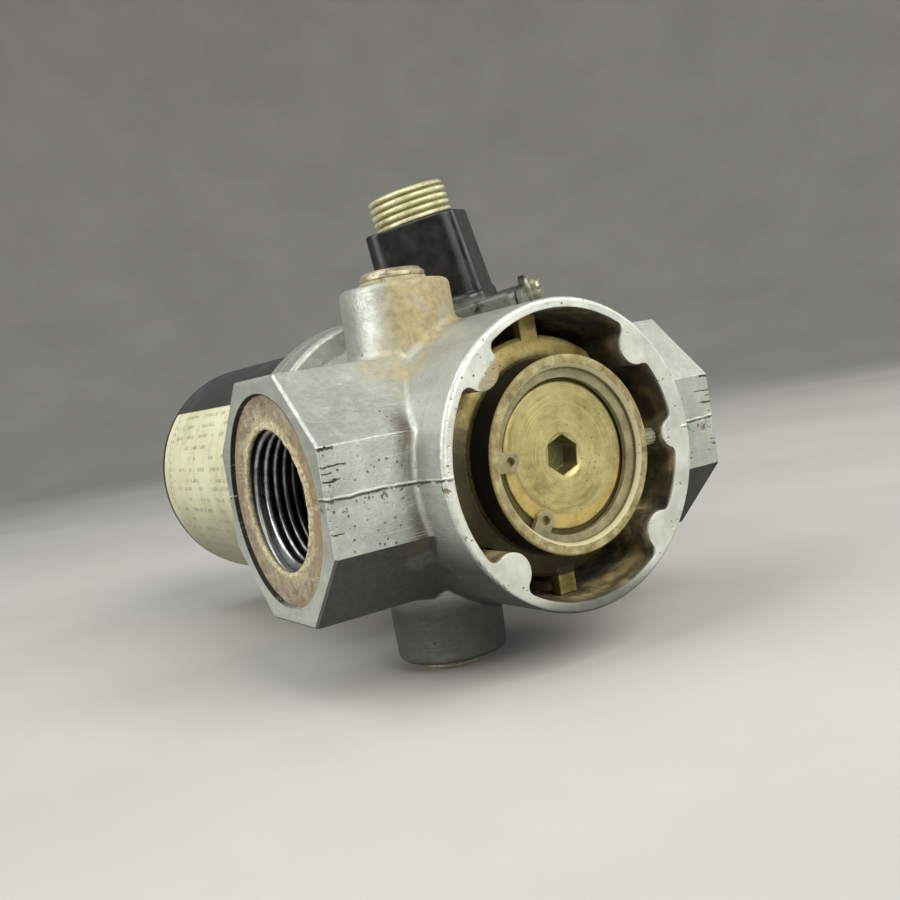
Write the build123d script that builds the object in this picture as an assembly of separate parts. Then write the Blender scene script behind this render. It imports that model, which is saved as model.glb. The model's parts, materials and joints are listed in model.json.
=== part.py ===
"""Two-port solenoid valve with octagonal G1 ports, written as separate named pieces.

Built about the crossing of the port axis (X) and the solenoid axis (Y, open front ring at -Y),
Z up through the two test bosses. place() then moves each piece into the row frame.
"""
from build123d import *
from math import cos, sin, tan, radians, pi, hypot
import os

os.makedirs("parts", exist_ok=True)

# ---- driving dimensions, millimetres -------------------------------------------------------
ACROSS_FLATS = 55.0          # octagonal port hexes
PORT_FACE_X = 55.1           # port face to the solenoid axis
PORT_MAJOR_R = 16.62         # G1 thread, root of the female thread
PORT_THREAD_LEN = 19.0
PORT_RELIEF_R = 15.0
SPOT_FACE_R = 24.0
SPOT_FACE_DEPTH = 1.0
INLET_RELIEF_X = 29.2        # where the inlet's relief bore meets the front chamber
OUTLET_RELIEF_X = 31.6
OUTLET_SLOT_END_Y = 15.0     # slot from the outlet into the rear chamber
OUTLET_SLOT_HALF = 13.0

BARREL_R = 34.35
RING_FACE_Y = -39.1          # front ring face
CHAMBER_R = 32.0             # front chamber wall
THICK_WALL_R = 29.3          # chamber wall where it backs the outlet port
THICK_WALL_FROM = -42.0      # degrees from +X, ends hidden inside two lugs
THICK_WALL_TO = 42.0
LUG_R = 4.6
LUG_CENTRE = 30.4
LUG_ANGLES = (45, 135, 225, 315)
LUG_FLARE_R = 2.0
KEY_LUG_R = 3.4
KEY_LUG_CENTRE = 29.0
CHAMBER_END_Y = -8.0

PARTITION_END_Y = 2.0
REAR_CHAMBER_R = 26.0
FLANGE_R = 41.0
FLANGE_Y = 38.35
GASKET_Y = 46.1
BONNET_Y = 46.6
BONNET_END_Y = 54.2
BONNET_CHAMFER = 1.3
BONNET_SPIGOT_Y = 38.0
SCREW_CIRCLE_R = 34.0
SCREW_SHANK_R = 2.5
SCREW_HEAD_R = 4.25
SCREW_SEAT = 5.2             # depth of the counterbore
BUSH_R = 8.0                 # guide bush outside
BUSH_END_Y = 46.0

CAST_RADIUS = 2.0            # foundry radius where walls meet

BOSS_X = -15.75
BOSS_TIP_R = 13.2
BOSS_BASE_R = 14.2
BOSS_TIP_Z = 44.6
BOSS_TIP_RADIUS = 1.6
BOSS_BORE_R = 5.9
BOSS_BORE_Z = 20.0           # inner end of the tap bores
SEAL_R = 8.0
SEAL_THICK = 1.2
PLUG_HEAD_R = 7.8
PLUG_SHANK = 9.0
PLUG_FLATS = 6.0
PLUG_TOP_Z = 48.0
PLUG_LOW_Z = -47.0

TUBE_R = 22.0                # inner flow sleeve
TUBE_BORE_R = 19.2
TUBE_RIM_Y = -37.75
SHOULDER_Y = -31.0
SLEEVE_LIP_Y = -36.7         # inner end of the rim's chamfer
CLIP_GROOVE_R = 20.3
CLIP_GROOVE_Y = -36.0
CLIP_GROOVE_END_Y = -34.4
COLLAR_R = 27.2
COLLAR_Y = -28.4
COLLAR_END_Y = -25.5
COLLAR_BACK_R = 20.5
NOTCH_Y = -29.5              # notches that let the collar pass the lugs
NOTCH_END_Y = -24.5
NOTCH_GAP = 0.4
PISTON_BORE_R = 17.0
PISTON_BORE_END_Y = -9.0
SEAT_BORE_R = 14.0
SEAT_LIP_Y = 3.5
SPIGOT_R = 17.4
SPIGOT_Y = -8.0
SPIGOT_GROOVE_R = 15.9
SPIGOT_GROOVE_Y = -4.6
SPIGOT_GROOVE_END_Y = -2.4
WINDOWS = 8                  # flow windows round the sleeve
WINDOW_HALF = 3.6
WINDOW_Y = -18.6
WINDOW_END_Y = -11.6
TAB_WIDTH = 4.6
TAB_TIP_R = 31.7
TAB_Y = -28.6
INDEX_SCREW_Y = -35.5
INDEX_HEAD_R = 2.0
INDEX_TIP_X = 25.0

DISC_FACE_Y = -34.45
DISC_BOSS_R = 16.4           # raised middle inside the circlip
DISC_BOSS_BREAK = 0.3
DISC_SHOULDER_Y = -33.9
DISC_R = 19.1
DISC_BACK_Y = -31.1
DISC_GROOVE_R = 17.6
DISC_GROOVE_Y = -33.3
DISC_GROOVE_END_Y = -31.7
DISH_R = 5.1                 # shallow cone round the socket
DISH_FLOOR_R = 4.4
DISH_DEPTH = 0.5
HEX_DEPTH = 5.5
HUB_R = 8.0
HUB_END_Y = -27.6
SPINDLE_END_Y = -12.0
CLIP_R = 20.1
CLIP_INNER_R = 17.3
CLIP_OFFSET = 0.5            # makes the band taper toward the gap
CLIP_Y = -35.9
CLIP_THICK = 1.4
CLIP_GAP_MIDDLE = 206.0      # degrees from +X
CLIP_EAR_HALF = 30.0         # ears to each side of the gap's middle, degrees
CLIP_EAR_R = 2.3
CLIP_EAR_CENTRE = 15.6
CLIP_HOLE_R = 1.05
HEX_FLATS = 8.0
HEX_TURN = 21.5              # degrees, resting turn of the socket
STEM_R = 4.0
THROTTLE_TRAVEL = 8.0
THROTTLE_Y = -27.0
THROTTLE_END_Y = THROTTLE_Y + THROTTLE_TRAVEL
THROTTLE_WEB_Y = -22.4
THROTTLE_RIM_R = 15.0        # inside of the thin skirt
KEY_PIN_R = 1.22

POPPET_TRAVEL = 6.0
POPPET_R = 19.2
POPPET_HUB_R = 6.6
POPPET_Y = 6.0               # seal face of the poppet
POPPET_BACK_Y = 15.0
POPPET_SKIRT_R = 15.4
SEAL_FACE_Y = 3.56
NUT_FLATS = 13.0
NUT_THICK = 4.6
STEM_Y = -3.6
STEM_IN_ARMATURE = 12.0
SPRING_WIRE_R = 0.8
SPRING_R = 9.5
SPRING_Y = 13.8
SPRING_TURNS = 6
ARMATURE_R = 13.0
ARMATURE_SLOT_HALF = 1.2
GUIDE_R = 14.0
GUIDE_BORE_R = 13.1
ARMATURE_Y = 60.0
ARMATURE_END_Y = 102.0
POLE_Y = ARMATURE_END_Y + POPPET_TRAVEL
POLE_END_Y = 142.6
TUBE_END_Y = 134.0
TUBE_FLOOR_Y = 47.2
STUD_R = 8.0
STUD_LENGTH = 8.8

CAN_R = 36.5
CAN_WALL = 2.0
CAN_Y = BONNET_END_Y
CAN_END_Y = 145.0
CAN_RIM = 2.5                # depth of the rolled rim
CAN_FLOOR = 3.2
BOBBIN_Y = 57.6
BOBBIN_END_Y = 138.8
BOBBIN_R = 33.6
BOBBIN_FLANGE = 2.4
BOBBIN_WALL = 1.7
WINDING_R = 31.8
NUT_R = 13.1
COIL_NUT_FLATS = 24.0
WASHER_R = 13.6
WASHER_THICK = 1.6
LABEL_THICK = 0.15
LABEL_TOP_ANGLE = 140.0      # straight upper edge of the label, degrees from +X
LABEL_LOW_ANGLE = 262.0

ELBOW_TILT = 10.0            # terminal housing leans toward the inlet, degrees about Y
ELBOW_X = 15.4
ELBOW_Y = 18.6
TOWER_FOOT = 26.6
TOWER_DRAFT = 3.0            # degrees a side
TOWER_CORNER = 5.5
TOWER_TOP = 60.5
ELBOW_BASE_TOP = 36.7
STEP_HALF = 14.1
BASE_HALF = 14.6
ELBOW_STEP_TOP = 39.3
ELBOW_BASE_LOW = 28.0
ELBOW_END = 22.0
COVER_THICK = 1.6
COVER_HALF = 14.0
COVER_SCREW_W = 34.9
COVER_SCREW_R = 1.5
BOX_SCREW_U = 4.4
BOX_SCREW_R = 1.65
BOX_FLOOR = 3.0
CAVITY_HALF = 10.4
WIRE_WAY_R = 6.4
TERMINAL_U = 17.0
TERMINAL_V = 6.6
TERMINAL_SCREW_R = 1.2
NIPPLE_R = 10.3              # half-inch conduit nipple, 14 threads to the inch
NIPPLE_BORE_R = 7.6
NIPPLE_TOP = 69.2
LEAD_FROM = (7.0, 34.0, 37.6)  # drilled lead passage, mouth in the terminal housing
LEAD_TO = (5.0, 58.5, 30.0)    # and in the coil space
LEAD_HOLE_R = 2.0
LEAD_R = 0.7

RUNNING = 0.1                # running clearance on radius
PAST = 1.0                   # how far a cutting tool runs past a face

# ---- row frame -----------------------------------------------------------------------------
STUD_END_Y = POLE_END_Y + STUD_LENGTH
MIDDLE_Y = (RING_FACE_Y + STUD_END_Y) / 2
ROW = Pos(0, -MIDDLE_Y, -PLUG_LOW_Z)


def place(name, shape):
    """Write one piece in the row frame."""
    moved = ROW * shape
    export_step(moved, "parts/" + name + ".step")


def rod(radius, y0, y1, x=0.0, z=0.0):
    """Cylinder along Y."""
    body = Cylinder(radius, y1 - y0, align=(Align.CENTER, Align.CENTER, Align.MIN))
    return Pos(x, y0, z) * Rot(-90, 0, 0) * body


def post(radius, z0, z1, x=0.0, y=0.0):
    """Cylinder along Z."""
    return Pos(x, y, z0) * Cylinder(radius, z1 - z0, align=(Align.CENTER, Align.CENTER, Align.MIN))


def bar(radius, x0, x1, y=0.0, z=0.0):
    """Cylinder along X."""
    body = Cylinder(radius, x1 - x0, align=(Align.CENTER, Align.CENTER, Align.MIN))
    return Pos(x0, y, z) * Rot(0, 90, 0) * body


def block(x0, x1, y0, y1, z0, z1):
    """Box between two corners."""
    size = Box(x1 - x0, y1 - y0, z1 - z0)
    return Pos((x0 + x1) / 2, (y0 + y1) / 2, (z0 + z1) / 2) * size


def turned(*profile):
    """Solid of revolution about Y from (radius, y) corners."""
    edge = Polyline(*[(r, y) for r, y in profile], close=True)
    return revolve(make_face(edge), axis=Axis.Y)


def ring(r_out, r_in, y0, y1):
    """Plain ring about Y."""
    return turned((r_in, y0), (r_out, y0), (r_out, y1), (r_in, y1))


def at_angle(radius, degrees):
    """Pos at a polar place about the solenoid axis."""
    return Pos(radius * cos(radians(degrees)), 0, radius * sin(radians(degrees)))


# ---- valve body ----------------------------------------------------------------------------
def octagon_prism():
    half = ACROSS_FLATS / 2
    corner = half * tan(radians(22.5))
    cross = [(half, corner), (corner, half), (-corner, half), (-half, corner),
             (-half, -corner), (-corner, -half), (corner, -half), (half, -corner)]
    face = Plane.YZ * make_face(Polyline(*cross, close=True))
    prism = extrude(face, PORT_FACE_X, both=True)
    ends = prism.edges().group_by(Axis.X)
    return chamfer(ends[0] + ends[-1], 0.5)


def front_opening():
    """Lobed outline of the front chamber, drawn looking along +Y."""
    outline = Circle(CHAMBER_R)
    sweep = [(0, 0)]
    far = CHAMBER_R * 1.3
    steps = 6
    for i in range(steps + 1):
        a = radians(THICK_WALL_FROM + (THICK_WALL_TO - THICK_WALL_FROM) * i / steps)
        sweep.append((far * cos(a), far * sin(a)))
    wedge = make_face(Polyline(*sweep, close=True))
    outline -= (Circle(CHAMBER_R + 1) - Circle(THICK_WALL_R)) & wedge
    for angle in LUG_ANGLES:
        outline -= Rot(0, 0, angle) * Pos(LUG_CENTRE, 0) * Circle(LUG_R)
    outline -= Pos(KEY_LUG_CENTRE, 0) * Circle(KEY_LUG_R)
    return fillet(outline.vertices(), LUG_FLARE_R)


def front_chamber():
    drawing = Plane((0, RING_FACE_Y, 0), x_dir=(1, 0, 0), z_dir=(0, -1, 0))
    depth = CHAMBER_END_Y - RING_FACE_Y
    return extrude(drawing * front_opening(), -depth)


def boss(sign):
    height = BOSS_TIP_Z
    cone = Cone(BOSS_BASE_R, BOSS_TIP_R, height, align=(Align.CENTER, Align.CENTER, Align.MIN))
    cone = fillet(cone.edges().sort_by(Axis.Z)[-1], BOSS_TIP_RADIUS)
    if sign < 0:
        cone = Rot(180, 0, 0) * cone
    return Pos(BOSS_X, 0, 0) * cone


def edges_where(shell, fits):
    """Edges of a shell whose sampled points all pass a test."""
    return [e for e in shell.edges() if all(fits(e @ t) for t in (0, 0.33, 0.66, 1))]


def on_barrel(point):
    return abs(hypot(point.X, point.Z) - BARREL_R) < 0.02 and abs(point.Y) < ACROSS_FLATS / 2 + 0.1


def on_boss(point):
    taper = (BOSS_TIP_R - BOSS_BASE_R) / BOSS_TIP_Z
    radius = hypot(point.X - BOSS_X, point.Y)
    return abs(radius - BOSS_BASE_R - taper * abs(point.Z)) < 0.05 and 15 < abs(point.Z) < 40


def outer_casting():
    """Octagon, barrel, flange and bosses, run together with foundry radii."""
    barrel = rod(BARREL_R, RING_FACE_Y, FLANGE_Y + 1)
    barrel = fillet(barrel.edges().sort_by(Axis.Y)[0], 1.0)
    shell = octagon_prism() + barrel
    shell = fillet(edges_where(shell, on_barrel), CAST_RADIUS)
    shell = shell + boss(1) + boss(-1)
    feet = [e for e in edges_where(shell, on_boss) if e.geom_type != GeomType.LINE]
    shell = fillet(feet, CAST_RADIUS)
    flange = rod(FLANGE_R, FLANGE_Y, GASKET_Y)
    flange = fillet(flange.edges().sort_by(Axis.Y)[0], 1.5)
    return shell + flange


def valve_body():
    shell = outer_casting()
    pad = elbow_frame() * block(-9, 19, -9, 9, ELBOW_BASE_LOW - 6, ELBOW_BASE_LOW)
    shell = shell + pad
    # front and rear chambers, and the bore through the partition between them
    shell -= front_chamber()
    shell -= rod(REAR_CHAMBER_R, PARTITION_END_Y, GASKET_Y + PAST)
    shell -= rod(SPIGOT_R + RUNNING, CHAMBER_END_Y - PAST, PARTITION_END_Y + PAST)
    # ports: the inlet runs forward of the partition, the outlet behind it
    for side in (-1, 1):
        a, b = sorted((side * PORT_FACE_X, side * (PORT_FACE_X - SPOT_FACE_DEPTH)))
        shell -= bar(SPOT_FACE_R, a, b)
        a, b = sorted((side * PORT_FACE_X, side * (PORT_FACE_X - PORT_THREAD_LEN)))
        shell -= bar(PORT_MAJOR_R, a, b)
    shell -= bar(PORT_RELIEF_R, -PORT_FACE_X, -INLET_RELIEF_X)
    shell -= bar(PORT_RELIEF_R, OUTLET_RELIEF_X, PORT_FACE_X)
    half = OUTLET_SLOT_HALF
    shell -= block(18, 36, PARTITION_END_Y, OUTLET_SLOT_END_Y, -half, half)
    # test taps through both bosses into the chambers
    shell -= post(BOSS_BORE_R, BOSS_BORE_Z, BOSS_TIP_Z + PAST, BOSS_X, 0)
    shell -= post(BOSS_BORE_R, -BOSS_TIP_Z - PAST, -BOSS_BORE_Z, BOSS_X, 0)
    # bonnet screw holes, blind in the flange
    for angle in LUG_ANGLES:
        shell -= at_angle(SCREW_CIRCLE_R, angle) * rod(SCREW_SHANK_R, GASKET_Y - 7, GASKET_Y + PAST)
    shell -= lead_passage()
    shell -= elbow_frame() * post(BOX_SCREW_R + 0.05, ELBOW_BASE_LOW - 5, ELBOW_BASE_LOW + 6, BOX_SCREW_U, 0)
    return shell


def elbow_frame():
    """Local frame of the terminal housing: u toward its end cover, w along the conduit tower."""
    return Rot(0, -ELBOW_TILT, 0) * Pos(ELBOW_X, ELBOW_Y, 0) * Rot(0, 0, -45)


def between(p, q, radius):
    """Cylinder between two points."""
    path = Vector(q) - Vector(p)
    body = Cylinder(radius, path.length, align=(Align.CENTER, Align.CENTER, Align.MIN))
    return Plane(origin=p, z_dir=path) * body


def lead_passage():
    return between(LEAD_FROM, LEAD_TO, LEAD_HOLE_R)


# ---- plugs ---------------------------------------------------------------------------------
def plug(sign):
    """Screw plug with a low turned head and a hex socket."""
    tip = BOSS_TIP_Z
    top = PLUG_TOP_Z if sign > 0 else -PLUG_LOW_Z
    head = post(PLUG_HEAD_R, tip + SEAL_THICK, top)
    rims = head.edges().filter_by(GeomType.CIRCLE).sort_by(Axis.Z)
    head = chamfer(rims[-1], 1.1 if sign > 0 else 0.5)
    rims = head.edges().filter_by(GeomType.CIRCLE).sort_by(Axis.Z)
    head = chamfer(rims[0], 0.3)
    shank = post(BOSS_BORE_R - 0.05, tip - PLUG_SHANK, tip + SEAL_THICK + 0.1)
    shank = chamfer(shank.edges().sort_by(Axis.Z)[0], 0.8)
    socket = Pos(0, 0, top - 4) * extrude(RegularPolygon(PLUG_FLATS / 2 / cos(radians(30)), 6), 5)
    body = head + shank - socket
    if sign < 0:
        body = Rot(180, 0, 0) * body
    return Pos(BOSS_X, 0, 0) * body


def plug_seal(sign):
    seal = post(SEAL_R, BOSS_TIP_Z, BOSS_TIP_Z + SEAL_THICK)
    seal -= post(BOSS_BORE_R, BOSS_TIP_Z - PAST, BOSS_TIP_Z + SEAL_THICK + PAST)
    if sign < 0:
        seal = Rot(180, 0, 0) * seal
    return Pos(BOSS_X, 0, 0) * seal


# ---- flow sleeve and the parts inside it ---------------------------------------------------
def flow_sleeve():
    sleeve = turned(
        (TUBE_R - 2.1, TUBE_RIM_Y), (TUBE_R - 0.4, TUBE_RIM_Y), (TUBE_R, TUBE_RIM_Y + 0.4),
        (TUBE_R, COLLAR_Y - 1.8), (TUBE_R + 0.6, COLLAR_Y - 1), (COLLAR_R - 0.8, COLLAR_Y),
        (COLLAR_R, COLLAR_Y + 0.6), (COLLAR_R, COLLAR_END_Y), (COLLAR_BACK_R, COLLAR_END_Y),
        (COLLAR_BACK_R, SPIGOT_Y), (SPIGOT_R, SPIGOT_Y), (SPIGOT_R, SPIGOT_GROOVE_Y),
        (SPIGOT_GROOVE_R, SPIGOT_GROOVE_Y), (SPIGOT_GROOVE_R, SPIGOT_GROOVE_END_Y),
        (SPIGOT_R, SPIGOT_GROOVE_END_Y), (SPIGOT_R, SEAT_LIP_Y - 2.3),
        (SEAT_BORE_R + 1.6, SEAT_LIP_Y), (SEAT_BORE_R, SEAT_LIP_Y), (SEAT_BORE_R, PISTON_BORE_END_Y),
        (PISTON_BORE_R, PISTON_BORE_END_Y), (PISTON_BORE_R, SHOULDER_Y), (TUBE_BORE_R, SHOULDER_Y),
        (TUBE_BORE_R, CLIP_GROOVE_END_Y), (CLIP_GROOVE_R, CLIP_GROOVE_END_Y),
        (CLIP_GROOVE_R, CLIP_GROOVE_Y), (TUBE_BORE_R, CLIP_GROOVE_Y), (TUBE_BORE_R, SLEEVE_LIP_Y))
    window = block(-WINDOW_HALF, WINDOW_HALF, WINDOW_Y, WINDOW_END_Y, SEAT_BORE_R + 1, TUBE_R)
    window = fillet(window.edges().filter_by(Axis.Z), 1.5)
    for i in range(WINDOWS):
        sleeve -= Rot(0, (i + 0.5) * 360 / WINDOWS, 0) * window
    for angle in LUG_ANGLES:
        notch = rod(LUG_R + NOTCH_GAP, NOTCH_Y, NOTCH_END_Y, LUG_CENTRE, 0)
        sleeve -= Rot(0, -angle, 0) * notch
    sleeve -= rod(KEY_LUG_R + NOTCH_GAP, NOTCH_Y, NOTCH_END_Y, KEY_LUG_CENTRE, 0)
    half = TAB_WIDTH / 2
    for angle in (90, 180, 270):
        tab = block(COLLAR_R - 2, TAB_TIP_R, TAB_Y, COLLAR_END_Y, -half, half)
        sleeve += Rot(0, -angle, 0) * tab
    # holes for the throttle's key and for the locking screw
    sleeve -= post(KEY_PIN_R + 0.03, SEAT_BORE_R + 1, TUBE_R, 0, THROTTLE_WEB_Y)
    sleeve -= bar(KEY_PIN_R + 0.03, COLLAR_BACK_R + 0.1, TUBE_R + PAST, INDEX_SCREW_Y, 0)
    return sleeve


def sleeve_o_ring():
    middle = (SPIGOT_GROOVE_Y + SPIGOT_GROOVE_END_Y) / 2
    section = 0.79
    return Pos(0, middle, 0) * Rot(90, 0, 0) * Torus(SPIGOT_GROOVE_R + section + 0.01, section)


def index_screw():
    """Small knurled locking screw on the sleeve's rim."""
    head = bar(INDEX_HEAD_R, TUBE_R + 0.02, INDEX_TIP_X, INDEX_SCREW_Y, 0)
    flute = bar(0.28, TUBE_R, INDEX_TIP_X + PAST, INDEX_SCREW_Y, 0)
    flutes = 14
    flute_r = INDEX_HEAD_R + 0.05
    for i in range(flutes):
        a = 2 * pi * i / flutes
        head -= Pos(0, flute_r * cos(a), flute_r * sin(a)) * flute
    half = 0.3
    slot = block(INDEX_TIP_X - 0.6, INDEX_TIP_X + PAST, INDEX_SCREW_Y - half, INDEX_SCREW_Y + half, -3, 3)
    shank = bar(1.2, COLLAR_BACK_R + 0.2, TUBE_R + 0.1, INDEX_SCREW_Y, 0)
    return head + shank - slot


def adjuster_disc():
    """Turned disc with a hex socket, a seal groove in its edge and a threaded spindle behind."""
    disc = turned(
        (0, DISC_FACE_Y), (DISC_BOSS_R - DISC_BOSS_BREAK, DISC_FACE_Y),
        (DISC_BOSS_R, DISC_FACE_Y + DISC_BOSS_BREAK), (DISC_BOSS_R, DISC_SHOULDER_Y),
        (DISC_R, DISC_SHOULDER_Y), (DISC_R, DISC_GROOVE_Y), (DISC_GROOVE_R, DISC_GROOVE_Y),
        (DISC_GROOVE_R, DISC_GROOVE_END_Y), (DISC_R, DISC_GROOVE_END_Y), (DISC_R, DISC_BACK_Y),
        (HUB_R, DISC_BACK_Y), (HUB_R, HUB_END_Y), (STEM_R, HUB_END_Y),
        (STEM_R, SPINDLE_END_Y - 0.8), (STEM_R - 0.8, SPINDLE_END_Y), (0, SPINDLE_END_Y))
    hexagon = extrude(RegularPolygon(HEX_FLATS / 2 / cos(radians(30)), 6), HEX_DEPTH + 0.5)
    socket = Pos(0, DISC_FACE_Y - 0.5, 0) * Rot(0, -HEX_TURN, 0) * Rot(-90, 0, 0) * hexagon
    dish = turned((0, DISC_FACE_Y - PAST), (DISH_R, DISC_FACE_Y - PAST), (DISH_R, DISC_FACE_Y),
                  (DISH_FLOOR_R, DISC_FACE_Y + DISH_DEPTH), (0, DISC_FACE_Y + DISH_DEPTH))
    return disc - socket - dish


def disc_o_ring():
    middle = (DISC_GROOVE_Y + DISC_GROOVE_END_Y) / 2
    section = 0.77
    return Pos(0, middle, 0) * Rot(90, 0, 0) * Torus(DISC_GROOVE_R + section + 0.01, section)


def retaining_ring():
    """Internal circlip: tapering band with two drilled ears, open toward the lower left."""
    middle = radians(CLIP_GAP_MIDDLE)
    inner = Pos(CLIP_OFFSET * cos(middle), CLIP_OFFSET * sin(middle)) * Circle(CLIP_INNER_R)
    band = Circle(CLIP_R) - inner
    wedge = [(0, 0)]
    far = CLIP_R * 1.5
    for a in (-24, -12, 0, 12, 24):
        t = radians(CLIP_GAP_MIDDLE + a)
        wedge.append((far * cos(t), far * sin(t)))
    band -= make_face(Polyline(*wedge, close=True))
    for side in (-1, 1):
        turn = CLIP_GAP_MIDDLE + side * CLIP_EAR_HALF
        t = radians(turn)
        ear = Pos(CLIP_EAR_CENTRE * cos(t), CLIP_EAR_CENTRE * sin(t))
        neck_r = CLIP_EAR_CENTRE + 2
        neck = Pos(neck_r * cos(t), neck_r * sin(t)) * Rot(0, 0, turn) * Rectangle(4.0, 4.4)
        band += ear * Circle(CLIP_EAR_R) + neck
        band -= ear * Circle(CLIP_HOLE_R)
    drawing = Plane((0, CLIP_Y, 0), x_dir=(1, 0, 0), z_dir=(0, -1, 0))
    return extrude(drawing * band, -CLIP_THICK)


def throttle_piston():
    """Cup that slides in the sleeve and covers its flow windows."""
    r = PISTON_BORE_R - RUNNING
    inner = STEM_R + 0.05
    hub_y = THROTTLE_Y + 0.6
    piston = turned((inner, hub_y), (HUB_R, hub_y), (HUB_R, THROTTLE_WEB_Y), (THROTTLE_RIM_R, THROTTLE_WEB_Y),
                    (THROTTLE_RIM_R, THROTTLE_Y), (r, THROTTLE_Y), (r, THROTTLE_END_Y),
                    (inner, THROTTLE_END_Y))
    half = KEY_PIN_R + 0.13
    keyway_z = THROTTLE_RIM_R + 0.3
    piston -= block(-half, half, THROTTLE_Y - PAST, THROTTLE_END_Y + PAST, keyway_z, PISTON_BORE_R + PAST)
    for i in range(4):
        piston -= at_angle(11.5, i * 90 + 45) * rod(1.5, THROTTLE_WEB_Y - 0.6, THROTTLE_END_Y + PAST)
    return piston


def throttle_key():
    return post(KEY_PIN_R, THROTTLE_RIM_R + 0.6, COLLAR_BACK_R - 0.05, 0, THROTTLE_WEB_Y)


# ---- poppet, stem and armature -------------------------------------------------------------
def poppet():
    lip = POPPET_Y - 1.4
    return turned((STEM_R, POPPET_Y), (POPPET_SKIRT_R, POPPET_Y), (POPPET_SKIRT_R, lip),
                  (POPPET_R - 0.6, lip), (POPPET_R, lip + 0.6), (POPPET_R, POPPET_Y + 3.4),
                  (POPPET_R - 1.2, POPPET_Y + 4.4), (POPPET_HUB_R + 1.4, POPPET_BACK_Y - 2.6),
                  (POPPET_HUB_R, POPPET_BACK_Y), (STEM_R, POPPET_BACK_Y))


def poppet_seal():
    r = POPPET_SKIRT_R - 0.1
    pad = ring(r, 8.0, SEAL_FACE_Y, POPPET_Y - 0.1)
    return pad + ring(r + 1.1, r - 0.1, SEAL_FACE_Y, POPPET_Y - 1.5)


def poppet_nut():
    nut = extrude(RegularPolygon(NUT_FLATS / 2 / cos(radians(30)), 6), NUT_THICK)
    back = SEAL_FACE_Y - 0.06
    washer = ring(9.5, STEM_R, back - 1.1, back)
    nut = Pos(0, back - 1 - NUT_THICK, 0) * Rot(-90, 0, 0) * nut
    return nut - rod(STEM_R, STEM_Y, back + 1) + washer


def stem():
    body = rod(STEM_R, STEM_Y, ARMATURE_Y + STEM_IN_ARMATURE)
    ends = body.edges().filter_by(GeomType.CIRCLE).sort_by(Axis.Y)
    return chamfer([ends[0], ends[-1]], 0.7)


def armature():
    body = rod(ARMATURE_R, ARMATURE_Y, ARMATURE_END_Y)
    ends = body.edges().filter_by(GeomType.CIRCLE).sort_by(Axis.Y)
    body = chamfer([ends[0], ends[-1]], 0.6)
    body -= rod(STEM_R, ARMATURE_Y - PAST, ARMATURE_Y + STEM_IN_ARMATURE)
    half = ARMATURE_SLOT_HALF
    for side in (-1, 1):
        a, b = sorted((side * (ARMATURE_R - 1), side * (ARMATURE_R + 2)))
        body -= block(-half, half, ARMATURE_Y - PAST, ARMATURE_END_Y + PAST, a, b)
    return body


def return_spring():
    height = BONNET_SPIGOT_Y - SPRING_Y - 2 * SPRING_WIRE_R
    helix = Helix(height / SPRING_TURNS, height, SPRING_R)
    section = Plane(helix @ 0, z_dir=helix % 0) * Circle(SPRING_WIRE_R)
    spring = sweep(section, path=helix, is_frenet=True)
    return Pos(0, SPRING_Y + SPRING_WIRE_R, 0) * Rot(-90, 0, 0) * spring


# ---- bonnet and guide tube -----------------------------------------------------------------
def bonnet():
    plate = turned((GUIDE_R, BONNET_Y), (FLANGE_R, BONNET_Y), (FLANGE_R, BONNET_END_Y - BONNET_CHAMFER),
                   (FLANGE_R - BONNET_CHAMFER, BONNET_END_Y), (GUIDE_R, BONNET_END_Y))
    r = REAR_CHAMBER_R - RUNNING
    inside = BONNET_Y + 0.5
    spigot = turned((BUSH_R, BONNET_SPIGOT_Y), (r - 0.7, BONNET_SPIGOT_Y), (r, BONNET_SPIGOT_Y + 0.7),
                    (r, inside), (GUIDE_R, inside), (GUIDE_R, BUSH_END_Y), (BUSH_R, BUSH_END_Y))
    body = plate + spigot
    for angle in LUG_ANGLES:
        hole = rod(SCREW_SHANK_R + 0.2, BONNET_Y - PAST, BONNET_END_Y + PAST)
        hole += rod(SCREW_HEAD_R + 0.35, BONNET_END_Y - SCREW_SEAT, BONNET_END_Y + PAST)
        body -= at_angle(SCREW_CIRCLE_R, angle) * hole
    return body - lead_passage()


def bonnet_gasket():
    gasket = ring(FLANGE_R - 0.3, REAR_CHAMBER_R, GASKET_Y, BONNET_Y)
    for angle in LUG_ANGLES:
        hole = rod(SCREW_SHANK_R + 0.3, GASKET_Y - PAST, BONNET_Y + PAST)
        gasket -= at_angle(SCREW_CIRCLE_R, angle) * hole
    return gasket - lead_passage()


def bonnet_screws():
    screws = []
    for angle in LUG_ANGLES:
        head = rod(SCREW_HEAD_R, BONNET_END_Y - SCREW_SEAT, BONNET_END_Y - 0.3)
        shank = rod(SCREW_SHANK_R, GASKET_Y - 6.5, BONNET_END_Y - SCREW_SEAT + 0.1)
        hexagon = extrude(RegularPolygon(2 / cos(radians(30)), 6), 4)
        socket = Pos(0, BONNET_END_Y - 3, 0) * Rot(-90, 0, 0) * hexagon
        screws.append(at_angle(SCREW_CIRCLE_R, angle) * (head + shank - socket))
    return Compound(screws)


def guide_bush():
    return ring(BUSH_R, STEM_R + RUNNING, BONNET_SPIGOT_Y, BUSH_END_Y)


def guide_tube():
    hole = STEM_R + 2
    return turned((hole, BUSH_END_Y), (GUIDE_R, BUSH_END_Y), (GUIDE_R, TUBE_END_Y),
                  (GUIDE_BORE_R, TUBE_END_Y), (GUIDE_BORE_R, TUBE_FLOOR_Y), (hole, TUBE_FLOOR_Y))


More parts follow.
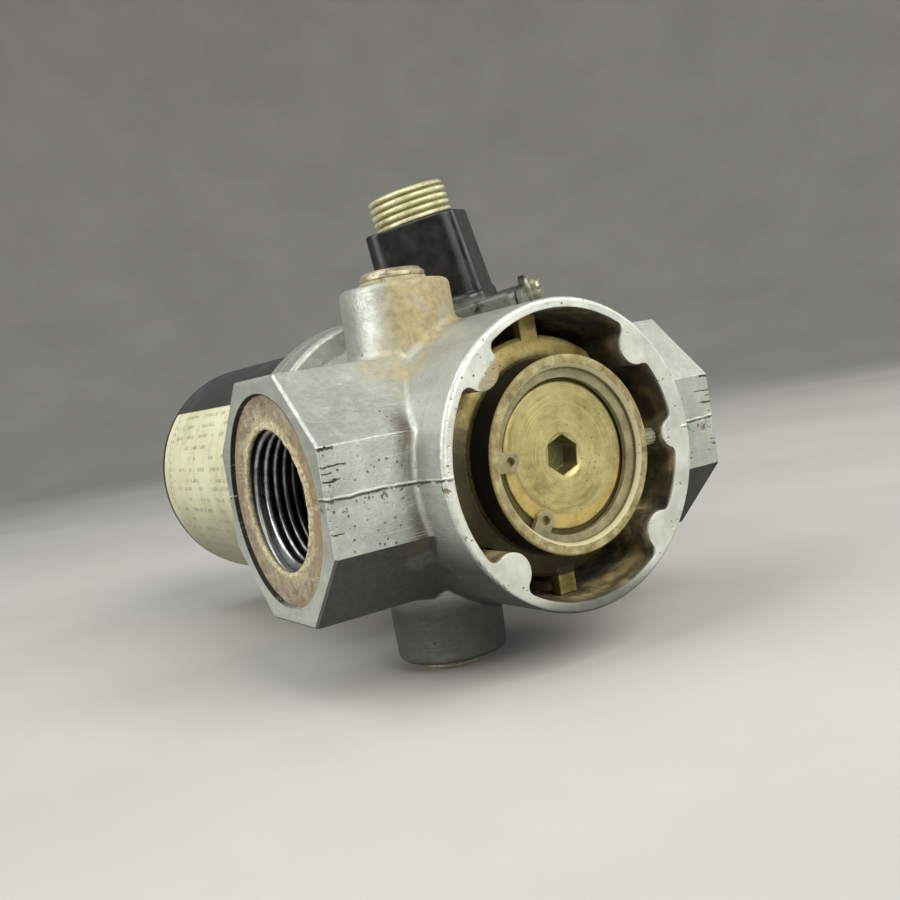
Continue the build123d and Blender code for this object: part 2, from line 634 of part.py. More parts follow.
def pole_piece():
    r = GUIDE_BORE_R
    return turned((0, POLE_Y), (r - 1, POLE_Y), (r, POLE_Y + 1), (r, TUBE_END_Y), (STUD_R, TUBE_END_Y),
                  (STUD_R, STUD_END_Y - 0.8), (STUD_R - 0.8, STUD_END_Y), (0, STUD_END_Y))


# ---- solenoid ------------------------------------------------------------------------------
def solenoid_can():
    inner = CAN_R - CAN_WALL
    hole = GUIDE_R + 0.15
    floor = CAN_Y + CAN_FLOOR
    can = turned((hole, CAN_Y), (CAN_R - 1.5, CAN_Y), (CAN_R, CAN_Y + 1.5), (CAN_R, CAN_END_Y - CAN_RIM),
                 (inner, CAN_END_Y - CAN_RIM), (inner, floor), (hole, floor))
    return can - lead_passage()


def can_rim():
    """Rolled rim closing the rear edge of the can."""
    inner = CAN_R - CAN_WALL
    roll = 0.9
    return turned((inner, CAN_END_Y - CAN_RIM), (CAN_R, CAN_END_Y - CAN_RIM), (CAN_R, CAN_END_Y - roll),
                  (CAN_R - roll, CAN_END_Y), (inner, CAN_END_Y))


def end_plate():
    hub = GUIDE_R + 0.15
    plate = ring(CAN_R - CAN_WALL, hub, POLE_END_Y - 3.6, POLE_END_Y)
    return plate + ring(hub, STUD_R + 0.2, TUBE_END_Y + 0.6, POLE_END_Y)


def coil_bobbin():
    inner = GUIDE_R + 0.3
    wall = inner + BOBBIN_WALL
    front = BOBBIN_Y + BOBBIN_FLANGE
    back = BOBBIN_END_Y - BOBBIN_FLANGE
    bobbin = turned((inner, BOBBIN_Y), (BOBBIN_R, BOBBIN_Y), (BOBBIN_R, front), (wall, front), (wall, back),
                    (BOBBIN_R, back), (BOBBIN_R, BOBBIN_END_Y), (inner, BOBBIN_END_Y))
    return bobbin - lead_passage()


def coil_winding():
    inner = GUIDE_R + 0.3 + BOBBIN_WALL + 0.2
    front = BOBBIN_Y + BOBBIN_FLANGE + 0.2
    back = BOBBIN_END_Y - BOBBIN_FLANGE - 0.2
    return turned((inner, front), (WINDING_R - 0.6, front), (WINDING_R, front + 1), (WINDING_R, back - 1),
                  (WINDING_R - 0.6, back), (inner, back))


def coil_nut():
    nut = extrude(RegularPolygon(COIL_NUT_FLATS / 2 / cos(radians(30)), 6), 6.4)
    nut = Pos(0, POLE_END_Y + WASHER_THICK, 0) * Rot(-90, 0, 0) * nut
    shoulder = POLE_END_Y + 6
    top = shoulder + 2.2
    cone = turned((STUD_R, shoulder), (NUT_R, shoulder), (NUT_R - 1.1, top), (STUD_R, top))
    envelope = rod(NUT_R, POLE_END_Y, shoulder) + cone
    return nut & envelope - rod(STUD_R, POLE_END_Y - PAST, STUD_END_Y + PAST)


def coil_washer():
    return ring(WASHER_R, STUD_R + 0.2, POLE_END_Y, POLE_END_Y + WASHER_THICK)


def rating_label():
    wrap = ring(CAN_R + LABEL_THICK, CAN_R, CAN_Y + 8, CAN_END_Y - 3.4)
    wedge = [(0, 0)]
    steps = 8
    for i in range(steps + 1):
        t = radians(LABEL_TOP_ANGLE + (LABEL_LOW_ANGLE - LABEL_TOP_ANGLE) * i / steps)
        wedge.append((60 * cos(t), 60 * sin(t)))
    drawing = Plane((0, CAN_END_Y, 0), x_dir=(1, 0, 0), z_dir=(0, -1, 0))
    sector = extrude(drawing * make_face(Polyline(*wedge, close=True)), CAN_END_Y - CAN_Y)
    return wrap & sector


# ---- terminal housing ----------------------------------------------------------------------
def terminal_box():
    foot = Pos(0.4, 0, ELBOW_STEP_TOP - 1) * RectangleRounded(TOWER_FOOT, TOWER_FOOT, TOWER_CORNER)
    tower = extrude(foot, TOWER_TOP - ELBOW_STEP_TOP + 1, taper=TOWER_DRAFT)
    tower = fillet(tower.edges().group_by(Axis.Z)[-1], 0.7)
    step = block(-STEP_HALF, STEP_HALF, -STEP_HALF, STEP_HALF, ELBOW_BASE_TOP - 1, ELBOW_STEP_TOP)
    step = fillet(step.edges().filter_by(Axis.Z), 5.0)
    step = fillet(step.edges().group_by(Axis.Z)[-1], 1.3)
    base = block(-BASE_HALF, ELBOW_END, -BASE_HALF, BASE_HALF, ELBOW_BASE_LOW, ELBOW_BASE_TOP)
    base = fillet(base.edges().filter_by(Axis.Z), 2.5)
    base = fillet(base.edges().group_by(Axis.Z)[-1], 1.8)
    box = base + step + tower
    # cavity for the terminals, open at the end cover
    wide = CAVITY_HALF
    floor = ELBOW_BASE_LOW + BOX_FLOOR
    box -= block(-wide, ELBOW_END + PAST, -wide, wide, floor, ELBOW_BASE_TOP - 2)
    # lug for the cover screw
    box += block(ELBOW_END - 7, ELBOW_END, -3.2, 3.2, COVER_SCREW_W - 3, ELBOW_BASE_TOP - 1)
    box -= bar(COVER_SCREW_R + 0.05, ELBOW_END - 7.5, ELBOW_END + PAST, 0, COVER_SCREW_W)
    # wire way up the tower, tapped hole for the nipple, hole for the holding screw
    box -= post(WIRE_WAY_R, floor + 1, TOWER_TOP + PAST)
    box -= post(NIPPLE_R - 0.9, TOWER_TOP - 7, TOWER_TOP + PAST)
    box -= post(BOX_SCREW_R + 0.15, ELBOW_BASE_LOW - PAST, floor + 1, BOX_SCREW_U, 0)
    placed = elbow_frame() * box
    placed -= rod(BARREL_R + 0.05, RING_FACE_Y, FLANGE_Y)
    placed -= rod(FLANGE_R + 0.05, FLANGE_Y - 0.05, CAN_Y)
    return placed - lead_passage()


def terminal_cover():
    """End cover with a round tongue under the screw."""
    outside = ELBOW_END + COVER_THICK
    cover = block(ELBOW_END, outside, -COVER_HALF, COVER_HALF, ELBOW_BASE_LOW, ELBOW_BASE_TOP - 0.3)
    tongue = bar(4.3, ELBOW_END, outside, 0, COVER_SCREW_W)
    cover = fillet(cover.edges().filter_by(Axis.X).group_by(Axis.Z)[-1], 2.5) + tongue
    cover = fillet(cover.edges().group_by(Axis.X)[-1], 0.4)
    return elbow_frame() * (cover - bar(COVER_SCREW_R + 0.1, ELBOW_END - PAST, ELBOW_END + 5, 0, COVER_SCREW_W))


def cover_screw():
    x0 = ELBOW_END + COVER_THICK
    washer = bar(3.9, x0, x0 + 0.9, 0, COVER_SCREW_W)
    head = bar(2.9, x0 + 0.8, x0 + 3.5, 0, COVER_SCREW_W)
    head = fillet(head.edges().sort_by(Axis.X)[-1], 1.2)
    head -= block(x0 + 2.5, x0 + 4, -4, 4, COVER_SCREW_W - 0.4, COVER_SCREW_W + 0.4)
    return elbow_frame() * (washer + head + bar(COVER_SCREW_R, x0 - 6.6, x0 + 0.1, 0, COVER_SCREW_W))


def conduit_nipple():
    nipple = post(NIPPLE_R, TOWER_TOP, NIPPLE_TOP)
    nipple = chamfer(nipple.edges().sort_by(Axis.Z)[-1], 0.9)
    nipple += post(NIPPLE_R - 0.95, TOWER_TOP - 6.9, TOWER_TOP + 0.1)
    nipple -= post(NIPPLE_BORE_R, TOWER_TOP - 8, NIPPLE_TOP + PAST)
    return elbow_frame() * nipple


def terminal_strip():
    """Two terminal blocks joined by a bridge."""
    low = ELBOW_BASE_LOW + BOX_FLOOR
    inner, outer, height = 4.2, 9.0, 3.4
    strip = block(8.0, 20.0, -outer, -inner, low, low + height)
    strip += block(8.0, 20.0, inner, outer, low, low + height)
    strip += block(8.0, 11.0, -outer, outer, low, low + 1.6)
    for v in (-TERMINAL_V, TERMINAL_V):
        strip -= post(TERMINAL_SCREW_R + 0.05, low + 1, low + height + 0.6, TERMINAL_U, v)
    return elbow_frame() * strip


def terminal_screws():
    low = ELBOW_BASE_LOW + BOX_FLOOR
    screws = []
    for v in (-TERMINAL_V, TERMINAL_V):
        slot = block(TERMINAL_U - 2, TERMINAL_U + 2, v - 0.2, v + 0.2, low + 3.1, low + 4)
        screw = post(TERMINAL_SCREW_R, low + 1, low + 3.45, TERMINAL_U, v) - slot
        screws.append(elbow_frame() * screw)
    return Compound(screws)


def box_screw():
    """Screw that holds the terminal housing down on the casting."""
    low = ELBOW_BASE_LOW + BOX_FLOOR
    head = post(2.9, low, low + 1.9, BOX_SCREW_U, 0)
    head -= block(BOX_SCREW_U - 3, BOX_SCREW_U + 3, -0.35, 0.35, low + 1.1, low + 2.5)
    return elbow_frame() * (head + post(BOX_SCREW_R, low - 7.5, low + 0.1, BOX_SCREW_U, 0))


def coil_leads():
    """Two insulated leads through the drilled passage to the coil."""
    wires = []
    run = Vector(LEAD_TO) - Vector(LEAD_FROM)
    for dx in (-0.8, 0.8):
        p = Vector(LEAD_FROM) + Vector(dx, 0, 0) + run * 0.04
        q = Vector(LEAD_FROM) + Vector(dx, 0, 0) + run * 0.96
        wires.append(between(p, q, LEAD_R))
    return Compound(wires)


PIECES = {
    "valve_body": valve_body,
    "top_plug": lambda: plug(1),
    "top_plug_seal": lambda: plug_seal(1),
    "bottom_plug": lambda: plug(-1),
    "bottom_plug_seal": lambda: plug_seal(-1),
    "flow_sleeve": flow_sleeve,
    "sleeve_o_ring": sleeve_o_ring,
    "index_screw": index_screw,
    "adjuster_disc": adjuster_disc,
    "disc_o_ring": disc_o_ring,
    "retaining_ring": retaining_ring,
    "throttle_piston": throttle_piston,
    "throttle_key": throttle_key,
    "poppet": poppet,
    "poppet_seal": poppet_seal,
    "poppet_nut": poppet_nut,
    "stem": stem,
    "armature": armature,
    "return_spring": return_spring,
    "bonnet": bonnet,
    "bonnet_gasket": bonnet_gasket,
    "bonnet_screws": bonnet_screws,
    "guide_bush": guide_bush,
    "guide_tube": guide_tube,
    "pole_piece": pole_piece,
    "solenoid_can": solenoid_can,
    "can_rim": can_rim,
    "end_plate": end_plate,
    "coil_bobbin": coil_bobbin,
    "coil_winding": coil_winding,
    "coil_nut": coil_nut,
    "coil_washer": coil_washer,
    "rating_label": rating_label,
    "terminal_box": terminal_box,
    "terminal_cover": terminal_cover,
    "cover_screw": cover_screw,
    "conduit_nipple": conduit_nipple,
    "terminal_strip": terminal_strip,
    "terminal_screws": terminal_screws,
    "box_screw": box_screw,
    "coil_leads": coil_leads,
}

for name, make in PIECES.items():
    place(name, make())
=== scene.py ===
"""Looks for the solenoid valve: procedural materials, threads, grime and painted shade, light and camera."""
import json
import math

import bmesh
import bpy
from mathutils import Matrix, Vector, noise


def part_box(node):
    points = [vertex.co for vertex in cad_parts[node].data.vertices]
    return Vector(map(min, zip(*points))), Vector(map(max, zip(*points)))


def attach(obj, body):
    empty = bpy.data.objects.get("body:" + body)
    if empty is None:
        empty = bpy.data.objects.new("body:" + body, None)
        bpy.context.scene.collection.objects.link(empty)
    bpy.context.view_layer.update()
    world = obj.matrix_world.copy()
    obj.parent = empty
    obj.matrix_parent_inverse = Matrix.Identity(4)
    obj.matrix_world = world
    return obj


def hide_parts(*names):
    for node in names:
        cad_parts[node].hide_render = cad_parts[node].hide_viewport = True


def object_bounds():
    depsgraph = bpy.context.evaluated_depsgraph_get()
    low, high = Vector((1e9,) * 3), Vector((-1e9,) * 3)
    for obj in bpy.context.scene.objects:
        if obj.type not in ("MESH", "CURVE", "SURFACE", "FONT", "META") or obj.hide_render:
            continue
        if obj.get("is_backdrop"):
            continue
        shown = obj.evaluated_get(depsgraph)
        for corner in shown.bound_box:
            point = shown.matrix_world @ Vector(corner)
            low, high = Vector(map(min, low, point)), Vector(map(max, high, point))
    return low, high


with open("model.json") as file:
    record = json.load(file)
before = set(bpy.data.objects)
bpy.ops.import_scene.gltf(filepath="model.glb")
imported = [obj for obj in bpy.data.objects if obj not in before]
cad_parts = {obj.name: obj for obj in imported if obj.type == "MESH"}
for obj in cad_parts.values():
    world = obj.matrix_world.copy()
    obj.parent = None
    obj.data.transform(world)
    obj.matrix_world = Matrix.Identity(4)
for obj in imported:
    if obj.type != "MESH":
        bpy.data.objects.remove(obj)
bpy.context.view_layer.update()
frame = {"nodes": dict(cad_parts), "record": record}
MOUNTS = {m["name"]: m for m in frame["record"]["mounts"]}
INLET = Vector(MOUNTS["inlet_port"]["pos_m"])
# where the port axis crosses the solenoid axis; shaders work in millimetres from this point
CENTRE = Vector((0.0, INLET.y, INLET.z))
MM = 0.001

# landmarks of the valve, millimetres from CENTRE
PORT_FACE_X = 55.1
SPOT_FACE_R = 24.0
PORT_MOUTH_R = 16.6
FLAT_Y = -27.5               # front flats of the octagon
RING_FACE_Y = -39.1
CHAMBER_R = 32.0
BARREL_R = 34.35
BOSS = (-15.75, 0.0)         # x and y of the boss axis
TUBE_R = 22.0                # flow sleeve, outside
TUBE_RIM_Y = -37.75
TUBE_FOOT_Y = -30.0          # bare tube in front of it, collar behind
COLLAR_R = 27.2              # the collar's tabs reach past it
DISC_BOSS_R = 16.4
DISC_FACE_Y = -34.45
SOCKET_R = 4.7               # just past the corners of the disc's hex socket
CAN_R = 36.5
HOUSING_FOOT_Z = 38.0


# ---- node helpers --------------------------------------------------------------------------
class Paint:
    """Builds one material's node tree with short calls. Every value may be a socket or a number."""

    def __init__(self, name):
        self.mat = bpy.data.materials.new(name)
        self.mat.use_nodes = True
        self.tree = self.mat.node_tree
        self.bsdf = self.tree.nodes["Principled BSDF"]
        self.soft = None
        self.co = self.new("ShaderNodeTexCoord").outputs["Object"]
        shifted = self.vector("SUBTRACT", self.co, tuple(CENTRE))
        self.mm = self.vector("MULTIPLY", shifted, (1000.0, 1000.0, 1000.0))
        parts = self.new("ShaderNodeSeparateXYZ")
        self.link(self.mm, parts.inputs[0])
        self.x, self.y, self.z = parts.outputs[0], parts.outputs[1], parts.outputs[2]

    def new(self, kind, **settings):
        node = self.tree.nodes.new(kind)
        for key, value in settings.items():
            setattr(node, key, value)
        return node

    def link(self, source, socket):
        if isinstance(source, bpy.types.NodeSocket):
            self.tree.links.new(source, socket)
        elif isinstance(source, (tuple, list)) and len(source) == 3 and socket.type == "RGBA":
            socket.default_value = (*source, 1.0)
        else:
            socket.default_value = source

    def math(self, op, a, b=0.0, c=0.0, clamp=False):
        node = self.new("ShaderNodeMath", operation=op, use_clamp=clamp)
        for i, value in enumerate((a, b, c)):
            self.link(value, node.inputs[i])
        return node.outputs[0]

    def vector(self, op, a, b=(0.0, 0.0, 0.0)):
        node = self.new("ShaderNodeVectorMath", operation=op)
        self.link(a, node.inputs[0])
        self.link(b, node.inputs[1])
        return node.outputs[1] if op in ("LENGTH", "DOT_PRODUCT", "DISTANCE") else node.outputs[0]

    def add(self, a, b):
        return self.math("ADD", a, b)

    def mul(self, a, b):
        return self.math("MULTIPLY", a, b)

    def sub(self, a, b):
        return self.math("SUBTRACT", a, b)

    def either(self, a, b):
        return self.math("MAXIMUM", a, b)

    def both(self, a, b):
        return self.math("MULTIPLY", a, b, clamp=True)

    def inverse(self, a):
        return self.math("SUBTRACT", 1.0, a, clamp=True)

    def step(self, value, low, high, out_low=0.0, out_high=1.0):
        """Smooth ramp of value from low to high."""
        node = self.new("ShaderNodeMapRange", interpolation_type="SMOOTHSTEP")
        for i, item in enumerate((value, low, high, out_low, out_high)):
            self.link(item, node.inputs[i])
        return node.outputs[0]

    def band(self, value, low, high, soft):
        """1 between low and high, with soft edges."""
        rise = self.step(value, low - soft, low + soft)
        return self.both(rise, self.step(value, high - soft, high + soft, 1.0, 0.0))

    def noise(self, scale, detail=3.0, rough=0.55, at=None, stretch=None, shift=0.0, distort=0.0):
        """Fractal noise; scale is roughly cells per millimetre."""
        where = at or self.mm
        if stretch:
            where = self.vector("MULTIPLY", where, stretch)
        if shift:
            where = self.vector("ADD", where, (shift, shift * 0.7, shift * 1.3))
        node = self.new("ShaderNodeTexNoise")
        self.link(where, node.inputs["Vector"])
        settings = {"Scale": scale, "Detail": detail, "Roughness": rough, "Distortion": distort}
        for key, value in settings.items():
            node.inputs[key].default_value = value
        return node.outputs[0]

    def dots(self, scale, edge, core):
        """Scattered round dots, scale in dots per millimetre: 0 beyond edge, 1 within core."""
        node = self.new("ShaderNodeTexVoronoi")
        self.link(self.mm, node.inputs["Vector"])
        node.inputs["Scale"].default_value = scale
        return self.step(node.outputs["Distance"], edge, core)

    def mix(self, factor, a, b, mode="MIX"):
        node = self.new("ShaderNodeMix", data_type="RGBA", blend_type=mode)
        node.clamp_factor = True
        self.link(factor, node.inputs[0])
        self.link(a, node.inputs[6])
        self.link(b, node.inputs[7])
        return node.outputs[2]

    def blend(self, factor, a, b):
        node = self.new("ShaderNodeMix", data_type="FLOAT")
        node.clamp_factor = True
        self.link(factor, node.inputs[0])
        self.link(a, node.inputs[2])
        self.link(b, node.inputs[3])
        return node.outputs[0]

    def ramp(self, factor, *stops):
        node = self.new("ShaderNodeValToRGB")
        self.link(factor, node.inputs[0])
        ramp = node.color_ramp
        while len(ramp.elements) < len(stops):
            ramp.elements.new(0.5)
        for element, (place, colour) in zip(ramp.elements, stops):
            element.position = place
            element.color = (*colour, 1.0)
        return node.outputs[0]

    def tones(self, value, *stops):
        """Ramp whose colours are 0-255 display values."""
        return self.ramp(value, *((place, srgb(*colour)) for place, colour in stops))

    def tint(self, base, mask, share, colour):
        """Lay a display colour over base where mask is 1, at a share of full strength."""
        return self.mix(self.mul(mask, share), base, srgb(*colour))

    def vec(self, x, y, z=0.0):
        node = self.new("ShaderNodeCombineXYZ")
        for i, value in enumerate((x, y, z)):
            self.link(value, node.inputs[i])
        return node.outputs[0]

    def rounded(self, radius_mm):
        """Shading normal with small edge radii; one node a material, the first radius stands."""
        if self.soft is None:
            node = self.new("ShaderNodeBevel", samples=4)
            node.inputs["Radius"].default_value = radius_mm * MM
            self.soft = node.outputs[0]
        return self.soft

    def edge(self, radius_mm, sensitivity=6.0):
        """Mask of convex and concave edges, from the rounded normal."""
        hard = self.new("ShaderNodeNewGeometry").outputs["Normal"]
        same = self.vector("DOT_PRODUCT", self.rounded(radius_mm), hard)
        return self.math("MULTIPLY", self.sub(1.0, same), sensitivity, clamp=True)

    def bump(self, height, distance_mm, strength=1.0, base=None):
        node = self.new("ShaderNodeBump")
        node.inputs["Strength"].default_value = strength
        node.inputs["Distance"].default_value = distance_mm * MM
        self.link(height, node.inputs["Height"])
        if base is not None:
            self.link(base, node.inputs["Normal"])
        return node.outputs[0]

    def finish(self, colour, metallic=0.0, roughness=0.5, normal=None, **extra):
        self.link(colour, self.bsdf.inputs["Base Color"])
        self.link(metallic, self.bsdf.inputs["Metallic"])
        self.link(roughness, self.bsdf.inputs["Roughness"])
        if normal is not None:
            self.link(normal, self.bsdf.inputs["Normal"])
        for key, value in extra.items():
            self.link(value, self.bsdf.inputs[key.replace("_", " ")])
        return self.mat

    def polar(self, axis="Y", centre=(0.0, 0.0)):
        """Distance from an axis, and the angle about it, in millimetres and radians."""
        a, b = {"Y": (self.x, self.z), "X": (self.y, self.z), "Z": (self.x, self.y)}[axis]
        a = self.sub(a, centre[0])
        b = self.sub(b, centre[1])
        radius = self.math("SQRT", self.add(self.mul(a, a), self.mul(b, b)))
        return radius, self.math("ARCTAN2", b, a)


def srgb(*values):
    """Linear colour from 0-255 display values."""
    return tuple((v / 255 / 12.92) if v <= 10 else ((v / 255 + 0.055) / 1.055) ** 2.4 for v in values)


# ---- materials -----------------------------------------------------------------------------
def cast_skin(p, fine, edge):
    """Dull silver skin with soft flow marks round the barrel and worn bright edges."""
    cloud = p.noise(0.045, 4, 0.6)
    skin = p.tones(cloud, (0.28, (150, 154, 148)), (0.5, (176, 180, 173)), (0.74, (198, 201, 194)))
    skin = p.tint(skin, p.step(fine, 0.5, 0.78), 0.55, (134, 135, 126))
    streak = p.noise(0.35, 3, 0.6, stretch=(1.0, 0.12, 1.0), shift=5)
    skin = p.tint(skin, p.step(streak, 0.5, 0.75), 0.35, (214, 217, 210))
    wear = p.both(edge, p.step(p.noise(0.7, 4, 0.7, shift=3), 0.42, 0.58))
    return p.tint(skin, wear, 0.8, (232, 232, 224))


def ring_face(p, skin, radius_y):
    """Pale turned face of the front ring, with brown pits and a stained hollow on one lug."""
    face = p.step(p.y, RING_FACE_Y + 0.4, RING_FACE_Y + 0.1)
    pale = p.tones(p.noise(0.16, 3, 0.6, shift=9), (0.35, (196, 198, 189)), (0.65, (226, 229, 220)))
    skin = p.mix(p.mul(face, 0.85), skin, pale)
    fleck = p.both(p.dots(0.75, 0.26, 0.12), p.step(p.noise(0.2, 2, 0.5, shift=41), 0.52, 0.6))
    fleck = p.both(fleck, face)
    skin = p.tint(skin, fleck, 0.85, (112, 92, 62))
    hollow, _ = p.polar("Y", (-20.2, 20.6))
    hollow = p.both(face, p.both(p.step(hollow, 4.3, 3.7), p.step(radius_y, 29.6, 28.6)))
    return p.tint(skin, hollow, 0.8, (150, 128, 84)), fleck


def dark_pits(p, skin, far_x):
    """A few small pits anywhere, more of them on the front flats of the ports."""
    pits = p.both(p.dots(0.42, 0.13, 0.06), p.step(p.noise(0.09, 2, 0.5, shift=21), 0.54, 0.62))
    flats = p.both(p.step(p.y, FLAT_Y + 1.5, FLAT_Y + 0.3), p.step(far_x, 34.0, 38.0))
    small = p.both(p.dots(0.62, 0.2, 0.1), p.step(p.noise(0.14, 2, 0.5, shift=63), 0.42, 0.54))
    pits = p.either(pits, p.both(small, flats))
    return p.tint(skin, pits, 0.85, (70, 60, 44)), pits


def boss_wash(p, skin, fine, radius_y):
    """Rust-brown wash down the front of the upper boss and about its foot."""
    patchy = p.noise(0.12, 5, 0.65, shift=57)
    radius, _ = p.polar("Z", BOSS)
    lean = p.add(p.x, p.mul(p.y, -0.55))
    on_boss = p.both(p.step(radius, 15.6, 14.9), p.step(p.z, 24.0, 31.0))
    ragged = p.add(lean, p.mul(p.sub(patchy, 0.5), 6.0))
    on_boss = p.both(on_boss, p.step(ragged, -22.5, -16.0))
    foot = p.both(p.step(radius, 30.0, 15.0), p.band(p.z, 14.0, 32.0, 5.0))
    off_barrel = p.step(radius_y, BARREL_R - 0.45, BARREL_R - 0.15)
    foot = p.both(foot, p.both(p.step(p.y, -4.0, -13.0), off_barrel))
    wash = p.either(p.mul(on_boss, p.step(patchy, 0.2, 0.55, 0.45, 1.0)),
                    p.mul(foot, p.step(patchy, 0.38, 0.6)))
    rust = p.tones(fine, (0.35, (134, 112, 62)), (0.65, (178, 160, 108)))
    return p.mix(p.mul(wash, 0.78), skin, rust), wash


def port_dirt_and_shade(p, skin, fine, grain, far_x):
    """Brown deposit in the spot face, cream crust at the mouth, a painted shadow line on one side of the spot
    face's edge, painted shade deeper in the port.
    """
    radius, _ = p.polar("X")
    outer = p.step(far_x, PORT_FACE_X - 1.9, PORT_FACE_X - 1.2)
    seat = p.both(outer, p.step(radius, SPOT_FACE_R + 0.1, SPOT_FACE_R - 0.1))
    lumps = p.noise(0.3, 5, 0.7, shift=71)
    deposit = p.tones(lumps, (0.3, (96, 80, 58)), (0.48, (136, 120, 96)), (0.64, (164, 152, 128)))
    golden = p.both(seat, p.step(p.y, -12.0, -20.0))
    skin = p.mix(p.mul(seat, 0.94), skin, p.tint(deposit, golden, 0.5, (138, 108, 62)))
    ragged = p.add(radius, p.mul(p.sub(p.noise(0.3, 4, 0.7, shift=49), 0.5), 9.0))
    crust = p.both(seat, p.step(ragged, PORT_MOUTH_R + 2.3, PORT_MOUTH_R + 1.4))
    cream = p.tones(grain, (0.35, (142, 128, 90)), (0.6, (198, 190, 152)))
    skin = p.mix(p.mul(crust, 0.8), skin, cream)
    skin = p.tint(skin, p.both(crust, p.dots(1.5, 0.3, 0.18)), 0.7, (58, 46, 28))
    fleck = p.both(p.dots(0.8, 0.22, 0.1), p.step(p.noise(0.3, 3, 0.6, shift=83), 0.48, 0.58))
    skin = p.tint(skin, p.both(seat, fleck), 0.7, (66, 50, 32))
    # painted shadow: a near-black line along the spot face's wall, on one side only
    inner_side = p.step(radius, SPOT_FACE_R - 0.45, SPOT_FACE_R - 0.25)
    spot_face_shadow = p.both(outer, p.both(inner_side, p.step(radius, SPOT_FACE_R + 0.3, SPOT_FACE_R + 0.1)))
    spot_face_shadow = p.both(spot_face_shadow, p.step(p.add(p.mul(p.z, 0.5), p.mul(p.y, 0.87)), -13.0, -5.0))
    skin = p.tint(skin, spot_face_shadow, 0.97, (12, 10, 8))
    # the port walls: bright and oily near the mouth, with painted shade darkening them further in
    bore = p.both(p.step(radius, PORT_MOUTH_R + 0.8, PORT_MOUTH_R + 0.2), p.step(far_x, 33.0, 37.0))
    shine = p.tones(fine, (0.35, (120, 122, 124)), (0.65, (186, 188, 190)))
    wall = p.mix(p.step(far_x, 48.0, 53.0), srgb(30, 30, 30), shine)
    return p.mix(p.mul(bore, 0.9), skin, wall), seat, bore, lumps


def chamber_grime_and_shade(p, skin, fine, edge, radius_y, far_x):
    """Olive to brown-black grime inside the front chamber, with painted shade making it darker above, rubbed
    on the corners.
    """
    inside = p.both(p.step(radius_y, CHAMBER_R + 1.0, CHAMBER_R + 0.2),
                    p.step(p.y, RING_FACE_Y + 0.2, RING_FACE_Y + 0.9))
    inside = p.both(inside, p.step(far_x, 34.5, 33.5))
    patches = p.noise(0.11, 5, 0.65, shift=91)
    grime = p.tones(patches, (0.36, (24, 20, 12)), (0.5, (88, 76, 46)), (0.64, (164, 146, 102)))
    # painted shade: darker toward the top of the chamber
    grime = p.tint(grime, p.step(p.z, -8.0, 12.0), 0.4, (22, 19, 12))
    grime = p.tint(grime, p.both(edge, p.step(fine, 0.4, 0.6)), 0.5, (180, 170, 132))
    return p.mix(p.mul(inside, 0.96), skin, grime), inside, patches


def paint_underside_shade(p, skin, fine, outside, radius_y, far_x):
    """Painted shade underneath and on the lower boss, and painted shade with brown grime where the octagon
    meets the barrel.
    """
    normal = p.new("ShaderNodeNewGeometry").outputs["Normal"]
    part = p.new("ShaderNodeSeparateXYZ")
    p.link(normal, part.inputs[0])
    # painted shade on faces that point down and over the whole lower boss
    below = p.both(p.step(part.outputs[2], -0.12, -0.6), outside)
    low_boss = p.both(p.step(p.z, -25.0, -33.0), outside)
    underside_shade = p.either(p.mul(below, 0.95), p.mul(low_boss, 0.85))
    underside_shade = p.both(underside_shade, p.step(p.noise(0.07, 4, 0.6, shift=8), 0.1, 0.42, 0.6, 1.0))
    skin = p.mix(underside_shade, skin, p.tones(fine, (0.35, (30, 30, 26)), (0.65, (54, 53, 47))))
    # painted shade with brown grime in the neck where the octagon meets the barrel
    neck = p.both(p.step(p.y, -20.0, -27.0), p.step(radius_y, BARREL_R + 0.45, BARREL_R + 1.25))
    neck = p.both(p.band(far_x, 31.5, 36.5, 2.5), neck)
    neck = p.both(neck, p.step(p.noise(0.16, 4, 0.6, shift=15), 0.26, 0.48))
    return p.tint(skin, neck, 0.86, (84, 76, 58)), underside_shade


# dark nicks at the port's edge of the front flats: height, x where each ends, half width
NICKS = ((10.8, 51.6, 0.24), (7.2, 49.8, 0.13), (5.9, 52.8, 0.1), (4.3, 51.4, 0.2), (-6.4, 52.8, 0.12))
NICK_LIFT = 1.9              # the nicks slope down toward the port by this much in all
NICK_SLOPE = 0.035


def scratches_and_nicks(p, skin, clean, far_x):
    """Fine bright scratches on clean skin, and dark nicks on the front flats."""
    lines = p.noise(0.9, 2, 0.5, stretch=(0.07, 0.07, 1.6), shift=13, distort=0.4)
    scratch = p.step(p.math("ABSOLUTE", p.sub(lines, 0.5)), 0.012, 0.004)
    scratch = p.both(scratch, p.step(p.noise(0.08, 2, 0.5, shift=17), 0.5, 0.6))
    skin = p.tint(skin, p.both(scratch, clean), 0.4, (232, 232, 226))
    ragged = p.sub(p.noise(0.8, 3, 0.7, shift=26), 0.5)
    level = p.add(p.z, p.add(p.mul(ragged, 1.1), p.mul(far_x, NICK_SLOPE)))
    reach = p.add(far_x, p.mul(ragged, 4.0))
    nicks = 0.0
    for height, end, half in NICKS:
        middle = height + NICK_LIFT
        nick = p.band(level, middle - half, middle + half, 0.1)
        nicks = p.either(nicks, p.both(nick, p.step(reach, end - 0.6, end + 0.6)))
    flat = p.both(p.step(p.y, FLAT_Y + 0.6, FLAT_Y + 0.2), p.step(far_x, 36.0, 40.0))
    nicks = p.both(nicks, flat)
    return p.tint(skin, nicks, 0.94, (38, 32, 24)), nicks


